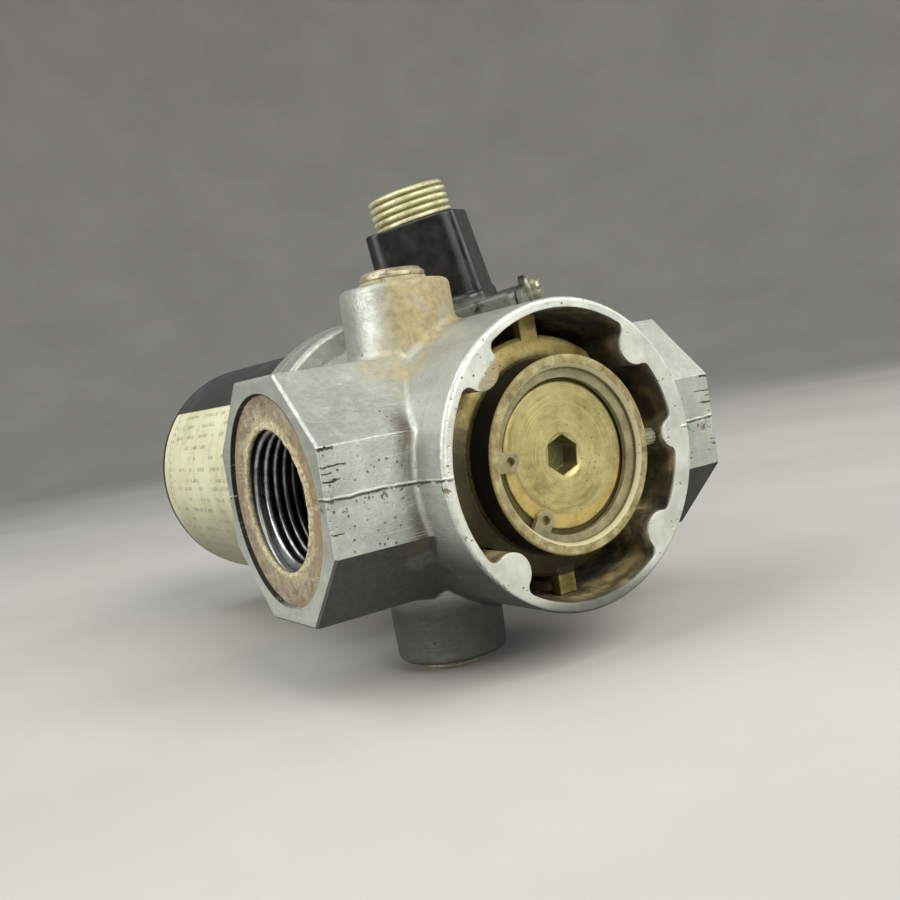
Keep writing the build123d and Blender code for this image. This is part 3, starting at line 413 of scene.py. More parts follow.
def parting_line(p, skin, outside, radius_y):
    """Casting seam along the ports: a bright burr, a dark crack under it, brown chips."""
    along = p.both(p.step(radius_y, 31.0, 33.5), outside)
    wander = p.mul(p.sub(p.noise(0.12, 3, 0.6, stretch=(1, 1, 0.01), shift=35), 0.5), 1.6)
    level = p.add(p.z, wander)
    burr = p.both(p.band(level, 0.75, 1.15, 0.15), along)
    crack = p.both(p.band(level, 0.25, 0.62, 0.12), along)
    crack = p.both(crack, p.step(p.noise(0.25, 3, 0.6, shift=37), 0.4, 0.5))
    chip = p.both(p.band(level, -2.4, 0.9, 0.8), along)
    chip = p.both(chip, p.step(p.noise(0.42, 4, 0.65, shift=39), 0.57, 0.63))
    skin = p.tint(skin, chip, 0.85, (104, 84, 52))
    skin = p.tint(skin, burr, 0.7, (226, 228, 220))
    return p.tint(skin, crack, 0.85, (50, 44, 34)), burr, p.either(crack, chip)


def cast_alloy():
    """Pressure die-cast alloy with every mark it has gathered, and painted shade underneath, in the chamber
    and in the ports.
    """
    p = Paint("cast_alloy_scuffed_painted_shade")
    soft = p.rounded(0.5)
    edge = p.edge(0.5, 9.0)
    fine = p.noise(0.6, 4, 0.65, shift=11)
    grain = p.noise(3.2, 3, 0.7, shift=31)
    radius_y, _ = p.polar("Y")
    far_x = p.math("ABSOLUTE", p.x)
    skin = cast_skin(p, fine, edge)
    skin, fleck = ring_face(p, skin, radius_y)
    skin, pits = dark_pits(p, skin, far_x)
    skin, wash = boss_wash(p, skin, fine, radius_y)
    skin, seat, bore, lumps = port_dirt_and_shade(p, skin, fine, grain, far_x)
    skin, inside, patches = chamber_grime_and_shade(p, skin, fine, edge, radius_y, far_x)
    outside = p.inverse(p.either(inside, seat))
    skin, underside_shade = paint_underside_shade(p, skin, fine, outside, radius_y, far_x)
    clean = p.inverse(p.either(p.either(underside_shade, inside), wash))
    skin, nicks = scratches_and_nicks(p, skin, clean, far_x)
    skin, burr, broken = parting_line(p, skin, outside, radius_y)
    raised = ((grain, 0.25), (fine, 0.45), (burr, 0.9),
              (p.both(seat, lumps), 1.6), (p.both(inside, patches), 1.5))
    sunk = ((pits, 1.2), (fleck, 0.9), (p.either(nicks, broken), 1.5))
    relief = 0.0
    for mask, share in raised:
        relief = p.add(relief, p.mul(mask, share))
    for mask, share in sunk:
        relief = p.sub(relief, p.mul(mask, share))
    dirt_and_shade = p.either(p.either(seat, inside), p.either(p.mul(wash, 0.7), underside_shade))
    rough = p.blend(dirt_and_shade, p.blend(p.step(fine, 0.4, 0.7), 0.36, 0.5), 0.76)
    rough = p.blend(bore, rough, 0.3)
    metal = p.blend(bore, p.blend(dirt_and_shade, 0.62, 0.12), 0.9)
    return p.finish(skin, metal, rough, p.bump(relief, 0.35, 0.75, soft))


def zinc_plate():
    """Dulled zinc-plated steel plug."""
    p = Paint("zinc_plate_dulled")
    mottling = p.noise(0.3, 4, 0.65)
    colour = p.tones(mottling, (0.32, (140, 130, 104)), (0.5, (178, 168, 140)), (0.7, (206, 200, 176)))
    colour = p.tint(colour, p.edge(0.5, 7), 0.7, (222, 218, 196))
    grime = p.step(p.noise(0.9, 4, 0.6, shift=9), 0.55, 0.72)
    colour = p.tint(colour, grime, 0.6, (80, 66, 46))
    radius, _ = p.polar("Z", BOSS)
    rings = p.math("SINE", p.mul(radius, 9.0))
    normal = p.bump(p.add(p.mul(rings, 0.3), mottling), 0.12, 0.7, p.rounded(0.25))
    return p.finish(colour, 0.7, p.blend(grime, 0.42, 0.7), normal)


def fibre_seal():
    """Pressed fibre washer under the plug, its low spots gone brown."""
    p = Paint("fibre_seal")
    fibre = p.noise(2.2, 4, 0.7, stretch=(1, 1, 0.3))
    colour = p.tones(fibre, (0.35, (150, 138, 108)), (0.65, (196, 186, 156)))
    low = p.step(p.noise(0.4, 3, 0.6, shift=6), 0.52, 0.66)
    colour = p.tint(colour, low, 0.6, (112, 92, 60))
    return p.finish(colour, 0.1, 0.7, p.bump(fibre, 0.15, 0.8))


def disc_marks_and_shade(p, colour, high, relief):
    """Broken tool rings on the turned disc, a crescent where the oil lies thin, painted shade on the shoulder
    beyond the boss and in the socket.
    """
    radius, angle = p.polar("Y")
    ring = p.noise(1.0, 2, 0.5, at=p.vec(p.mul(radius, 1.6), p.mul(angle, 0.35), 0.0))
    colour = p.mix(p.mul(p.step(ring, 0.45, 0.7), 0.35), colour, high)
    relief = p.add(relief, p.mul(ring, 0.9))
    offset, _ = p.polar("Y", (1.0, 2.3))
    worn_edge = p.add(offset, p.mul(p.sub(p.noise(0.5, 3, 0.6, shift=51), 0.5), 1.6))
    crescent = p.step(worn_edge, 15.0, 15.7)
    gold = p.tones(p.noise(0.35, 3, 0.6, shift=53), (0.35, (176, 140, 60)), (0.62, (206, 182, 104)))
    colour = p.mix(p.mul(crescent, 0.55), colour, gold)
    smear = p.step(p.noise(0.22, 4, 0.6, stretch=(0.5, 1, 1.4), shift=33), 0.5, 0.7)
    colour = p.tint(colour, smear, 0.35, (96, 86, 50))
    # painted shade on the shoulder beyond the boss, in the gap under the circlip
    colour = p.tint(colour, p.step(radius, DISC_BOSS_R - 0.3, DISC_BOSS_R + 0.1), 0.85, (48, 42, 28))
    # painted shade inside the hex socket
    socket = p.step(radius, SOCKET_R + 0.2, SOCKET_R - 0.2)
    socket = p.both(socket, p.step(p.y, DISC_FACE_Y + 0.45, DISC_FACE_Y + 0.85))
    colour = p.tint(colour, socket, 0.7, (52, 48, 32))
    colour = p.tint(colour, p.band(radius, SOCKET_R - 0.4, SOCKET_R + 0.5, 0.15), 0.35, (186, 174, 120))
    lower_left = p.step(p.add(p.x, p.mul(p.z, 0.5)), -3.0, -11.0)
    arc = p.both(p.band(worn_edge, 14.7, 15.5, 0.35), lower_left)
    colour = p.tint(colour, arc, 0.5, (118, 90, 40))
    return colour, relief, 0.55, p.blend(smear, 0.38, 0.56)


def sleeve_grime_and_shade(p, colour, cloud):
    """Brown rim with a bright inner chamfer and a painted shadow inside it, a brown outside wall with painted
    shade making it almost black on the left, a collar darker low and on the left with painted shade beside
    the tube, painted shade deeper in.
    """
    radius, _ = p.polar("Y")
    rim = p.step(p.y, TUBE_RIM_Y + 0.55, TUBE_RIM_Y + 0.15)
    brown = p.tones(p.noise(0.4, 4, 0.7, shift=3),
                    (0.33, (98, 84, 54)), (0.5, (142, 130, 90)), (0.7, (178, 170, 128)))
    colour = p.mix(p.mul(rim, 0.92), colour, brown)
    between = p.both(p.step(p.y, -37.4, -36.9), p.step(p.y, TUBE_FOOT_Y + 0.4, TUBE_FOOT_Y - 0.2))
    wall = p.both(p.step(radius, TUBE_R - 0.4, TUBE_R - 0.1), between)
    colour = p.tint(colour, wall, 0.7, (84, 72, 46))
    # painted shade: the outside wall goes near-black on the left
    colour = p.tint(colour, p.both(wall, p.step(p.x, 6.0, -6.0)), 0.97, (8, 7, 5))
    # the collar's tabs, outside this radius, stay clean
    behind = p.step(p.y, TUBE_FOOT_Y - 0.2, TUBE_FOOT_Y + 0.4)
    collar = p.both(p.step(radius, TUBE_R - 0.1, TUBE_R + 0.2), behind)
    height = p.add(p.add(p.z, p.mul(p.x, 0.55)), p.mul(p.sub(cloud, 0.5), 14.0))
    lower = p.both(p.step(height, 8.0, -9.0), p.step(radius, COLLAR_R + 0.4, COLLAR_R - 0.1))
    # painted shade in the corner beside the tube wall; lower down and on the left the collar is darker as
    # well
    near_wall = p.step(radius, TUBE_R + 2.5, TUBE_R + 0.2)
    collar_darkening = p.both(collar, p.either(lower, p.mul(near_wall, 0.7)))
    colour = p.tint(colour, collar_darkening, 0.92, (38, 33, 18))
    lip = p.both(p.step(radius, 19.95, 19.8), p.step(p.y, -36.6, -36.9))
    colour = p.tint(colour, lip, 0.85, (208, 202, 172))
    # painted shadow of the inner wall, just inside the chamfer
    inner_wall_shadow = p.both(p.step(radius, 19.6, 19.3), p.step(p.y, -36.75, -36.6))
    colour = p.tint(colour, inner_wall_shadow, 0.75, (112, 100, 72))
    # painted shade deeper in, behind the collar
    colour = p.tint(colour, p.step(p.y, -27.6, -25.0), 0.85, (30, 26, 19))
    dirt_and_shade = p.either(rim, wall)
    return colour, p.blend(dirt_and_shade, 0.45, 0.15), p.blend(dirt_and_shade, 0.46, 0.66)


def chromate(name, bright, turned=False):
    """Yellow-chromated alloy under oil and brown grime, with painted shade in its recesses: the flow sleeve,
    or the turned disc.
    """
    p = Paint(name)
    cloud = p.noise(0.13, 5, 0.65)
    fine = p.noise(1.1, 4, 0.7, shift=7)
    low, mid, high = bright
    colour = p.ramp(p.add(p.mul(cloud, 0.8), p.mul(fine, 0.2)), (0.32, low), (0.5, mid), (0.68, high))
    relief = p.add(p.mul(fine, 0.5), cloud)
    if turned:
        colour, relief, metal, rough = disc_marks_and_shade(p, colour, high, relief)
    else:
        colour, metal, rough = sleeve_grime_and_shade(p, colour, cloud)
    edge = p.both(p.edge(0.5, 7), p.step(fine, 0.4, 0.6))
    colour = p.mix(p.mul(edge, 0.45), colour, high)
    spot = p.both(p.dots(0.7, 0.2, 0.1), p.step(p.noise(0.3, 2, 0.5, shift=77), 0.5, 0.6))
    colour = p.tint(colour, spot, 0.7, (50, 40, 26))
    return p.finish(colour, metal, rough, p.bump(relief, 0.16, 0.8, p.rounded(0.3)))


def steel(name, dark, light, rough=0.38, metal=0.9, scale=0.5, lathe=False):
    """Machined or wire steel, a little stained. Lathe adds fine rings about the solenoid axis."""
    p = Paint(name)
    if lathe:
        radius, angle = p.polar("Y")
        ring = p.noise(1.0, 2, 0.5, at=p.vec(p.mul(radius, 2.2), p.mul(angle, 0.3), 0.0))
        cloud = p.blend(0.7, p.noise(0.12, 4, 0.6), ring)
    else:
        cloud = p.noise(scale, 4, 0.65)
    colour = p.ramp(cloud, (0.3, dark), (0.7, light))
    colour = p.mix(p.mul(p.edge(0.35, 6), 0.5), colour, light)
    stain = p.step(p.noise(scale * 0.5, 4, 0.6, shift=19), 0.55, 0.7)
    colour = p.mix(p.mul(stain, 0.4), colour, tuple(v * 0.45 for v in dark))
    normal = p.bump(p.add(cloud, p.mul(p.noise(scale * 5, 2, 0.6, shift=5), 0.3)), 0.08, 0.6, p.rounded(0.2))
    return p.finish(colour, metal, p.blend(stain, rough, rough + 0.22), normal)


def satin_black(name, base=(27, 28, 30), gloss=0.34, dust=0.35):
    """Stoved black paint with dust, fingerprints and rubbed edges."""
    p = Paint(name)
    haze = p.noise(0.06, 5, 0.65)
    peel = p.noise(1.3, 2, 0.5, shift=4)
    lighter = tuple(v + 22 for v in base)
    colour = p.mix(p.step(haze, 0.45, 0.75), srgb(*base), srgb(*lighter))
    speck = p.both(p.dots(0.9, 0.12, 0.05), p.step(p.noise(0.1, 2, 0.5, shift=14), 0.5, 0.62))
    colour = p.tint(colour, speck, dust, (150, 148, 140))
    rub = p.both(p.edge(0.6, 6), p.step(p.noise(0.7, 3, 0.6, shift=40), 0.5, 0.66))
    colour = p.tint(colour, rub, 0.5, (110, 110, 108))
    rough = p.blend(p.step(haze, 0.35, 0.7), gloss, gloss + 0.16)
    return p.finish(colour, 0.0, rough, p.bump(peel, 0.05, 0.5, p.rounded(0.4)), Specular_IOR_Level=0.5)


def moulded_black():
    """Glossy black phenolic moulding of the terminal housing, with handling haze."""
    p = Paint("moulded_black_gloss")
    haze = p.noise(0.12, 5, 0.65)
    speckle = p.noise(2.4, 3, 0.65, shift=6)
    colour = p.mix(p.step(haze, 0.4, 0.7), srgb(12, 12, 13), srgb(22, 22, 23))
    dust = p.both(p.step(speckle, 0.6, 0.72), p.step(haze, 0.45, 0.6))
    colour = p.tint(colour, dust, 0.18, (90, 88, 83))
    low = p.step(p.z, HOUSING_FOOT_Z + 3.5, HOUSING_FOOT_Z)
    foot = p.both(low, p.step(p.noise(0.3, 3, 0.6, shift=12), 0.25, 0.5))
    colour = p.tint(colour, foot, 0.75, (118, 120, 113))
    scuff = p.both(p.edge(0.5, 6), p.step(speckle, 0.48, 0.6))
    colour = p.tint(colour, scuff, 0.4, (96, 96, 95))
    rough = p.blend(p.step(haze, 0.35, 0.65), 0.24, 0.42)
    relief = p.add(haze, p.mul(speckle, 0.15))
    return p.finish(colour, 0.0, rough, p.bump(relief, 0.08, 0.5, p.rounded(0.5)))


ROW_PITCH, BOX_PITCH, DOT_PITCH = 3.6, 22.0, 2.4
PRINT_FROM_Y, PRINT_TO_Y = 68.0, 132.0


def label_film():
    """Aged cream label with ruled boxes and rows of illegible printed marks, with painted shade darkening its
    lower side.
    """
    p = Paint("label_film_aged_painted_shade")
    _, angle = p.polar("Y")
    around = p.mul(angle, CAN_R)
    along = p.y
    stain = p.noise(0.06, 5, 0.65)
    colour = p.tones(stain, (0.3, (180, 178, 142)), (0.5, (206, 205, 172)), (0.72, (220, 219, 192)))
    # painted shade: darker toward the bottom of the can
    colour = p.tint(colour, p.step(p.z, 2.0, -24.0), 0.8, (112, 108, 76))
    scuff = p.step(p.noise(1.4, 4, 0.7, shift=3), 0.62, 0.72)
    colour = p.tint(colour, scuff, 0.4, (140, 134, 104))
    # rows of small marks; the row spacing runs round the can, the marks run along it
    rows = p.mul(around, 1 / ROW_PITCH)
    row = p.math("FLOOR", rows)
    in_row = p.band(p.math("FRACT", rows), 0.30, 0.62, 0.04)
    letter = p.noise(1.0, 1, 0.5, at=p.vec(p.mul(along, 1.9), row, 0.0))
    word = p.noise(1.0, 1, 0.5, at=p.vec(p.mul(along, 0.16), p.mul(row, 3.7), 4.0))
    marks = p.both(in_row, p.both(p.step(letter, 0.46, 0.52), p.step(word, 0.46, 0.52)))
    field = p.band(along, PRINT_FROM_Y, PRINT_TO_Y, 0.8)
    ruled = p.band(p.math("FRACT", p.mul(along, 1 / BOX_PITCH)), 0.0, 0.016, 0.004)
    border = p.band(along, 136.2, 137.0, 0.12)
    dotted = p.band(p.math("FRACT", p.mul(around, 1 / DOT_PITCH)), 0.25, 0.75, 0.08)
    dotted = p.both(p.band(along, 134.0, 135.2, 0.1), dotted)
    ink = p.either(p.mul(p.both(marks, field), 0.75), p.mul(p.both(ruled, field), 0.5))
    ink = p.either(ink, p.mul(p.either(border, dotted), 0.6))
    worn = p.step(p.noise(0.5, 3, 0.6, shift=28), 0.38, 0.52)
    colour = p.mix(p.both(ink, worn), colour, srgb(92, 90, 84))
    colour = p.tint(colour, p.edge(0.6, 7), 0.5, (116, 108, 80))
    relief = p.noise(0.25, 3, 0.5, shift=2)
    return p.finish(colour, 0.0, p.blend(scuff, 0.42, 0.6), p.bump(relief, 0.2, 0.5))


def plated_nipple():
    """Dull yellow zinc on the conduit nipple, with painted shade in the thread roots."""
    p = Paint("plated_nipple")
    cloud = p.noise(0.4, 4, 0.65)
    colour = p.tones(cloud, (0.32, (184, 178, 134)), (0.55, (214, 210, 168)), (0.75, (232, 230, 200)))
    speck = p.step(p.noise(1.4, 4, 0.7, shift=7), 0.54, 0.7)
    colour = p.tint(colour, speck, 0.5, (126, 112, 72))
    height = p.new("ShaderNodeAttribute", attribute_name="root").outputs["Fac"]
    # painted shade in the thread roots
    colour = p.tint(colour, p.step(height, 0.45, 1.0), 0.7, (84, 74, 46))
    return p.finish(colour, 0.4, 0.4, p.bump(cloud, 0.12, 0.6))


def thread_steel():
    """Machined port thread: a painted highlight on the lower flanks near the mouth, painted shade in the
    roots and deeper in, sealant left at the edge.
    """
    p = Paint("port_thread_oiled_painted_light")
    far_x = p.math("ABSOLUTE", p.x)
    cloud = p.noise(0.5, 4, 0.65)
    colour = p.tones(cloud, (0.35, (112, 112, 112)), (0.65, (186, 187, 186)))
    height = p.new("ShaderNodeAttribute", attribute_name="root").outputs["Fac"]
    # painted shade in the thread roots and further into the port
    colour = p.tint(colour, p.step(height, 0.3, 0.9), 0.9, (24, 23, 22))
    colour = p.tint(colour, p.step(far_x, 50.0, 41.0), 0.9, (10, 10, 10))
    # painted highlight on the lower flanks near the mouth
    lit = p.both(p.step(far_x, 49.5, 52.0), p.step(p.z, 4.0, -6.0))
    colour = p.tint(colour, lit, 0.8, (214, 216, 218))
    mouth = p.step(far_x, PORT_FACE_X - 2.5, PORT_FACE_X - 1.3)
    crusted = p.both(mouth, p.step(p.noise(0.45, 4, 0.7, shift=18), 0.36, 0.5))
    paste = p.tones(p.noise(2.2, 3, 0.7, shift=2), (0.35, (160, 146, 112)), (0.65, (212, 202, 172)))
    colour = p.mix(p.mul(crusted, 0.9), colour, paste)
    relief = p.add(p.mul(cloud, 0.4), p.mul(crusted, 0.9))
    return p.finish(colour, p.blend(crusted, 0.9, 0.0), p.blend(crusted, 0.3, 0.85), p.bump(relief, 0.2, 0.7))


def sealant():
    """Old hemp-and-paste sealant at the thread mouth."""
    p = Paint("sealant_crust")
    lump = p.noise(1.1, 4, 0.7)
    colour = p.tones(lump, (0.3, (118, 102, 70)), (0.5, (186, 174, 140)), (0.7, (222, 214, 190)))
    return p.finish(colour, 0.0, 0.9, p.bump(p.noise(3.0, 3, 0.7, shift=5), 0.25, 0.9))


def plain(name, colour, rough, metal=0.0, scale=1.2, variation=0.25):
    """Hidden internals: base colour with mottling and fine bump."""
    p = Paint(name)
    cloud = p.noise(scale, 4, 0.65)
    dark = tuple(v * (1 - variation) for v in colour)
    light = tuple(min(1.0, v * (1 + variation)) for v in colour)
    shade = p.ramp(cloud, (0.35, dark), (0.65, light))
    normal = p.bump(cloud, 0.08, 0.5, p.rounded(0.25))
    return p.finish(shade, metal, p.blend(cloud, rough - 0.06, rough + 0.1), normal)


WIRE_PITCH = 0.6


def winding():
    """Copper wire wound side by side along the coil, with painted shade between the turns."""
    p = Paint("copper_winding")
    turns = p.math("SINE", p.mul(p.y, 2 * math.pi / WIRE_PITCH))
    # painted shade: darker between the turns
    colour = p.mix(p.step(turns, -0.9, 0.9), srgb(92, 40, 20), srgb(190, 102, 58))
    return p.finish(colour, 0.7, 0.3, p.bump(turns, 0.12, 0.9))


CHROMATE = (srgb(98, 82, 42), srgb(164, 146, 84), srgb(206, 190, 126))
DISC = (srgb(138, 126, 78), srgb(180, 168, 112), srgb(206, 196, 142))
CAST = cast_alloy()
MATERIALS = {
    "cast_alloy": CAST,
    "zinc_plate": zinc_plate(),
    "fibre_seal": fibre_seal(),
    "chromate_alloy": chromate("chromate_sleeve", CHROMATE),
    "seal_rubber": plain("nitrile_rubber", srgb(30, 30, 30), 0.6),
    "bright_zinc": steel("bright_zinc", srgb(120, 118, 98), srgb(184, 184, 160), 0.34, 0.7, scale=0.4),
    "chromate_disc": chromate("chromate_disc", DISC, turned=True),
    "spring_steel": steel("spring_steel", srgb(118, 110, 80), srgb(164, 156, 122), 0.42, 0.45, scale=0.35),
    "throttle_brass": steel("throttle_brass", srgb(138, 108, 54), srgb(196, 164, 92), 0.36, 0.9),
    "steel": steel("machined_steel", srgb(132, 132, 130), srgb(184, 184, 182), 0.32, 0.9),
    "poppet_alloy": steel("poppet_alloy", srgb(140, 140, 138), srgb(186, 186, 184), 0.38, 0.9),
    "bonnet_alloy": CAST,
    "gasket_sheet": plain("gasket_sheet", srgb(74, 74, 70), 0.82),
    "can_black": satin_black("can_satin_black", (44, 45, 45)),
    "rim_black": satin_black("rim_satin_black", (20, 20, 22), 0.4, 0.5),
    "moulding": plain("bobbin_moulding", srgb(40, 40, 42), 0.5),
    "copper_wire": winding(),
    "label_film": label_film(),
    "elbow_plastic": moulded_black(),
    "nipple_zinc": plated_nipple(),
    "brass_screw": steel("brass_screw", srgb(150, 118, 58), srgb(206, 174, 100), 0.34, 0.9, scale=0.4),
    "lead_sleeve": plain("lead_insulation", srgb(30, 28, 28), 0.5),
}
END_PLATE = steel("end_plate_zinc", srgb(132, 130, 116), srgb(168, 166, 150), 0.42, 0.7, lathe=True)
SLOT_OF = {part["node"]: part["material_slot"] for part in frame["record"]["subparts"]}
for node, thing in frame["nodes"].items():
    thing.data.materials.clear()
    thing.data.materials.append(END_PLATE if node == "end_plate" else MATERIALS[SLOT_OF[node]])


# ---- thread pieces -------------------------------------------------------------------------
STEPS_A_TURN = 120
ROOT_OVERLAP = 0.06 * MM     # the ridge's foot lies this far inside the metal
# across the ridge: offset in pitches, height from root to crest
PROFILE = ((-0.46, 0.0), (-0.11, 1.0), (0.11, 1.0), (0.46, 0.0))


def smooth(t):
    return t * t * (3 - 2 * t)


def on_circle(r, angle, z):
    return (r * math.cos(angle), r * math.sin(angle), z)


def join(mesh, a, b, flip=False):
    """Quads between two closed rows of vertices that run the same way. Flip winds them the other way."""
    for k in range(len(a)):
        j = (k + 1) % len(a)
        mesh.faces.new((a[k], b[k], b[j], a[j]) if flip else (a[k], a[j], b[j], b[k]))


def helix_ridge(name, root_r, crest_r, pitch, length, fade, finish):
    """A closed helical ridge in a bore about local Z, from z=0 to length. Its ends fade into the wall."""
    turns = length / pitch
    count = int(STEPS_A_TURN * turns)
    mesh = bmesh.new()
    root = mesh.verts.layers.float.new("root")
    rows = []
    for i in range(count + 1):
        t = i / count
        angle = 2 * math.pi * turns * t
        height = smooth(min(1.0, min(t, 1 - t) * turns / fade))
        row = []
        for offset, share in PROFILE:
            rise = share * height
            r = root_r + (crest_r - root_r) * rise + (ROOT_OVERLAP if share == 0.0 else 0.0)
            v = mesh.verts.new(on_circle(r, angle, length * t + offset * pitch))
            v[root] = 1.0 - rise
            row.append(v)
        rows.append(row)
    for a, b in zip(rows, rows[1:]):
        join(mesh, a, b)
    mesh.faces.new(rows[0])
    mesh.faces.new(list(reversed(rows[-1])))
    bmesh.ops.recalc_face_normals(mesh, faces=mesh.faces)
    return solid(name, mesh, finish)


def solid(name, mesh, finish):
    """Turns a bmesh into a smooth-shaded object of the scene."""
    data = bpy.data.meshes.new(name)
    mesh.to_mesh(data)
    mesh.free()
    data.materials.append(finish)
    data.polygons.foreach_set("use_smooth", [True] * len(data.polygons))
    thing = bpy.data.objects.new(name, data)
    bpy.context.scene.collection.objects.link(thing)
    return thing


def aim(origin, axis):
    """Matrix that takes local +Z to axis and the local origin to origin."""
    turn = Vector(axis).normalized().to_track_quat("Z", "Y").to_matrix().to_4x4()
    return Matrix.Translation(origin) @ turn


def settle(thing, matrix, body):
    """Bake a placing matrix into the mesh, then ride on a body."""
    thing.data.transform(matrix)
    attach(thing, body)
    return thing


G1_PITCH = 2.309 * MM
G1_DEPTH = 1.47 * MM
THREAD_END_GAP = 1.0 * MM    # from the inner end of the bore
THREAD = thread_steel()
for name in ("inlet_port", "outlet_port"):
    mount = MOUNTS[name]
    r = mount["dims"]["r_mm"] * MM
    length = mount["dims"]["length_mm"] * MM
    axis = Vector(mount["axis"])
    ridge = helix_ridge(name + "_thread", r, r - G1_DEPTH, G1_PITCH, length - 2.2 * MM, 0.6, THREAD)
    start = Vector(mount["pos_m"]) - axis * (length / 2 - THREAD_END_GAP)
    settle(ridge, aim(start, axis), "valve")


NIPPLE_AROUND = 144
ROWS_A_PITCH = 12
NIPPLE_LIP = 0.35 * MM       # chamfer at the mouth
NIPPLE_FOOT = 4.5 * MM       # plain shank below the thread
NIPPLE_WALL = 1.2 * MM


def threaded_nipple(crest_r, bore_r, pitch, depth, z0, z1, finish):
    """Hollow nipple about local Z: a screw surface outside, a chamfered mouth and a plain bore."""
    rows = int((z1 - z0) / pitch * ROWS_A_PITCH)
    mesh = bmesh.new()
    root = mesh.verts.layers.float.new("root")
    rings = []

    def screw(angle, z):
        phase = ((z - z0) / pitch - angle / (2 * math.pi)) % 1.0
        flank = abs(2 * phase - 1)
        share = smooth(min(1.0, max(0.0, (flank - 0.36) / 0.56)))
        dent = 0.06 * MM * noise.noise(Vector(on_circle(3, angle, z / MM * 0.8)))
        from_top = max(0.0, 1.0 - (z1 - z) / (0.9 * MM))
        return crest_r - depth * share - 0.8 * MM * from_top + min(0.0, dent), share

    def ring_at(z, radius_of):
        row = []
        for k in range(NIPPLE_AROUND):
            angle = 2 * math.pi * k / NIPPLE_AROUND
            r, share = radius_of(angle, z)
            v = mesh.verts.new(on_circle(r, angle, z))
            v[root] = share
            row.append(v)
        rings.append(row)

    for i in range(rows + 1):
        ring_at(z0 + (z1 - z0) * i / rows, screw)
    for z, r, share in ((z1, bore_r + NIPPLE_LIP, 0.1), (z1 - NIPPLE_LIP, bore_r, 0.3),
                        (z0 - NIPPLE_FOOT, bore_r, 0.8), (z0 - NIPPLE_FOOT, bore_r + NIPPLE_WALL, 0.8),
                        (z0, bore_r + NIPPLE_WALL, 0.8)):
        ring_at(z, lambda angle, height: (r, share))
    rings.append(rings[0])
    for a, b in zip(rings, rings[1:]):
        join(mesh, a, b)
    bmesh.ops.recalc_face_normals(mesh, faces=mesh.faces)
    return solid("nipple_threaded", mesh, finish)


HALF_INCH_PITCH = 1.814 * MM
pin = MOUNTS["conduit_nipple"]
nipple = threaded_nipple(pin["dims"]["r_mm"] * MM, MOUNTS["cable_entry"]["dims"]["r_mm"] * MM,
                         HALF_INCH_PITCH, 1.1 * MM, -3.98 * MM, 4.7 * MM, MATERIALS["nipple_zinc"])
settle(nipple, aim(pin["pos_m"], pin["axis"]), "valve")
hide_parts("conduit_nipple")


CRUST_AROUND, CRUST_ACROSS = 220, 7
CRUST_LAP = 0.5 * MM         # how far the crust hangs into the port


def crust_ring(name, inner_r, outer_r, height, finish, seed):
    """Lumpy ring of old sealant about local Z, lying on the face of a port."""
    mesh = bmesh.new()
    rows = []
    for k in range(CRUST_AROUND):
        angle = 2 * math.pi * k / CRUST_AROUND
        where = Vector(on_circle(2.2, angle, seed))
        wide = 0.55 + 0.75 * noise.noise(where) + 0.35 * noise.noise(where * 4.1)
        wide = min(1.0, max(0.12, wide))
        row = []
        for i in range(CRUST_ACROSS):
            t = i / (CRUST_ACROSS - 1)
            r = inner_r - CRUST_LAP + (CRUST_LAP + (outer_r - inner_r) * wide) * t
            bump = noise.noise(Vector(on_circle(r / MM * 0.9, angle, seed * 2)))
            z = height * math.sin(math.pi * min(1.0, 0.15 + t)) * (0.75 + 0.6 * bump)
            row.append(mesh.verts.new(on_circle(r, angle, max(0.02 * MM, z))))
        row.append(mesh.verts.new((row[-1].co.x, row[-1].co.y, -0.15 * MM)))
        row.append(mesh.verts.new((row[0].co.x, row[0].co.y, -0.6 * MM)))
        rows.append(row)
    for a, b in zip(rows, rows[1:] + rows[:1]):
        join(mesh, a, b, flip=True)
    bmesh.ops.recalc_face_normals(mesh, faces=mesh.faces)
    return solid(name, mesh, finish)


PASTE = sealant()
SEAT = 1.0 * MM
for index, name in enumerate(("inlet_port", "outlet_port")):
    mount = MOUNTS[name]
    axis = Vector(mount["axis"])
    r = mount["dims"]["r_mm"] * MM
    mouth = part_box("valve_body")[index].x - math.copysign(SEAT, axis.x)
    ring = crust_ring(name + "_sealant", r, r + 2.2 * MM, 0.55 * MM, PASTE, 3.0 + index)
    settle(ring, aim((mouth, mount["pos_m"][1], mount["pos_m"][2]), axis), "valve")


# ---- light, floor, camera ------------------------------------------------------------------
FLOOR_R, FLOOR_BEND, WALL_TOP = 1.2, 1.0, 3.0
FLOOR_AROUND, BEND_STEPS = 96, 12


def floor_stage():
    """Pale seamless floor that turns up far away into the backdrop."""
    p = Paint("floor_pale")
    cloud = p.noise(0.006, 4, 0.6)
    colour = p.tones(cloud, (0.35, (180, 179, 176)), (0.65, (190, 189, 186)))
    finish = p.finish(colour, 0.0, 0.75, p.bump(p.noise(0.8, 3, 0.6), 0.1, 0.3))
    mesh = bmesh.new()
    section = [(FLOOR_R, 0.0)]
    for i in range(1, BEND_STEPS + 1):
        a = math.radians(90 * i / BEND_STEPS)
        section.append((FLOOR_R + FLOOR_BEND * math.sin(a), FLOOR_BEND * (1 - math.cos(a))))
    section.append((FLOOR_R + FLOOR_BEND, WALL_TOP))
    turns = [2 * math.pi * k / FLOOR_AROUND for k in range(FLOOR_AROUND)]
    rings = [[mesh.verts.new(on_circle(r, turn, z)) for turn in turns] for r, z in section]
    hub = mesh.verts.new((0, 0, 0))
    for k in range(FLOOR_AROUND):
        mesh.faces.new((hub, rings[0][k], rings[0][(k + 1) % FLOOR_AROUND]))
    for a, b in zip(rings, rings[1:]):
        join(mesh, a, b, flip=True)
    floor = solid("floor", mesh, finish)
    floor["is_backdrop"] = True


floor_stage()


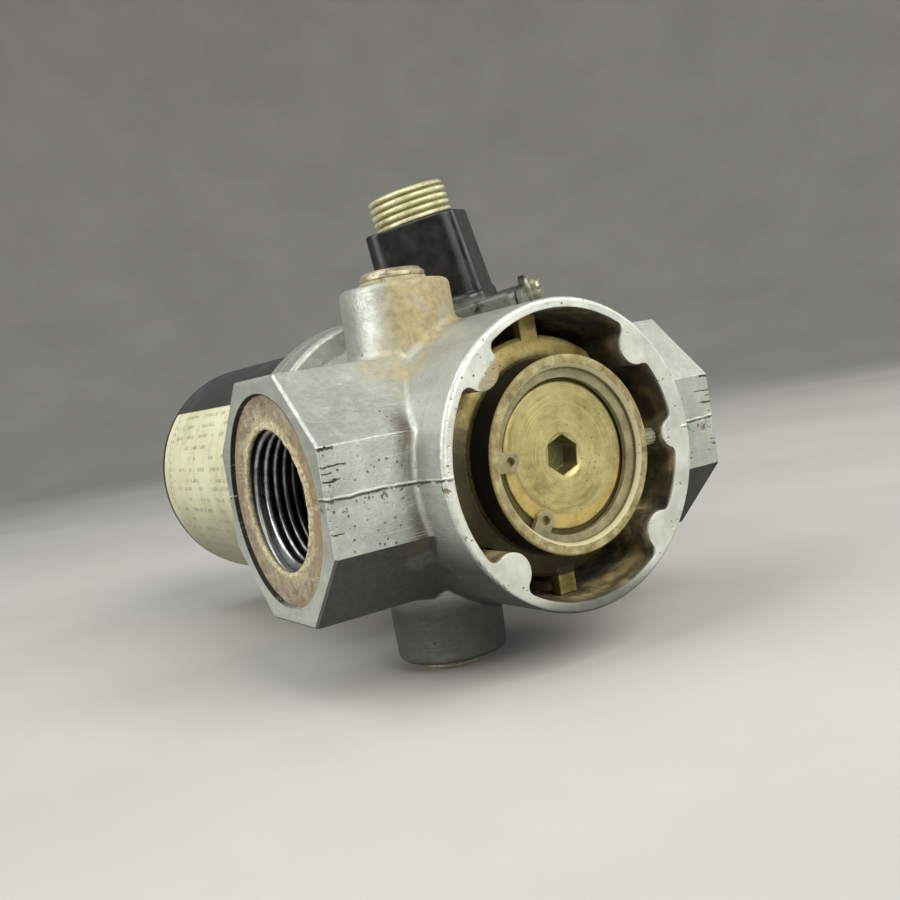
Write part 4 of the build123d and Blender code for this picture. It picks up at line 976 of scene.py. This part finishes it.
def softbox(name, at, target, size, watts, colour):
    """Rectangular lamp at a place, turned to a target; the camera doesn't see it."""
    data = bpy.data.lights.new(name, "AREA")
    data.shape = "RECTANGLE"
    data.size, data.size_y = size
    data.energy = watts
    data.color = colour
    lamp = bpy.data.objects.new(name, data)
    lamp.location = at
    lamp.rotation_mode = "QUATERNION"
    lamp.rotation_quaternion = (Vector(target) - Vector(at)).to_track_quat("-Z", "Y")
    lamp.visible_camera = False
    bpy.context.scene.collection.objects.link(lamp)


low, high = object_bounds()
middle = (low + high) / 2
WARM, COOL = (1.0, 0.995, 0.93), (0.97, 0.99, 1.0)
# name, place from the middle of the valve, width and height, watts, colour
LAMPS = (
    ("key", (0.12, -0.95, 0.68), (0.9, 1.0), 16.0, WARM),
    ("side", (0.9, -0.25, 0.5), (0.5, 0.7), 2.8, WARM),
    ("left", (-1.0, 0.0, 0.35), (0.5, 0.8), 7.0, WARM),
    ("top", (-0.45, 0.15, 0.9), (0.8, 0.8), 5.0, COOL),
)
for name, offset, size, watts, colour in LAMPS:
    softbox(name, middle + Vector(offset), middle, size, watts, colour)
bpy.context.scene.view_settings.view_transform = "Standard"

world = bpy.data.worlds.new("studio")
world.use_nodes = True
background = world.node_tree.nodes["Background"]
background.inputs["Color"].default_value = (0.90, 0.92, 0.90, 1.0)
background.inputs["Strength"].default_value = 0.18
bpy.context.scene.world = world

lens = bpy.data.cameras.new("view")
# camera solved from points of the photo: focal length in pixels, picture width in pixels
FOCAL_PX, PICTURE_PX = 1006.773, 900.0
lens.sensor_width = 36.0
lens.lens = lens.sensor_width * FOCAL_PX / PICTURE_PX
lens.clip_start = 0.01
lens.clip_end = 20.0
camera = bpy.data.objects.new("view", lens)
bpy.context.scene.collection.objects.link(camera)
right = Vector((0.83132936, -0.53172244, -0.16174898))
down = Vector((-0.17365352, 0.02795451, -0.98440998))
ahead = Vector((0.52795449, 0.8464572, -0.06909607))
place = Matrix((right, -down, -ahead)).transposed().to_4x4()
place.translation = CENTRE + Vector((-0.13777, -0.20885, 0.02040))
camera.matrix_world = place
bpy.context.scene.camera = camera
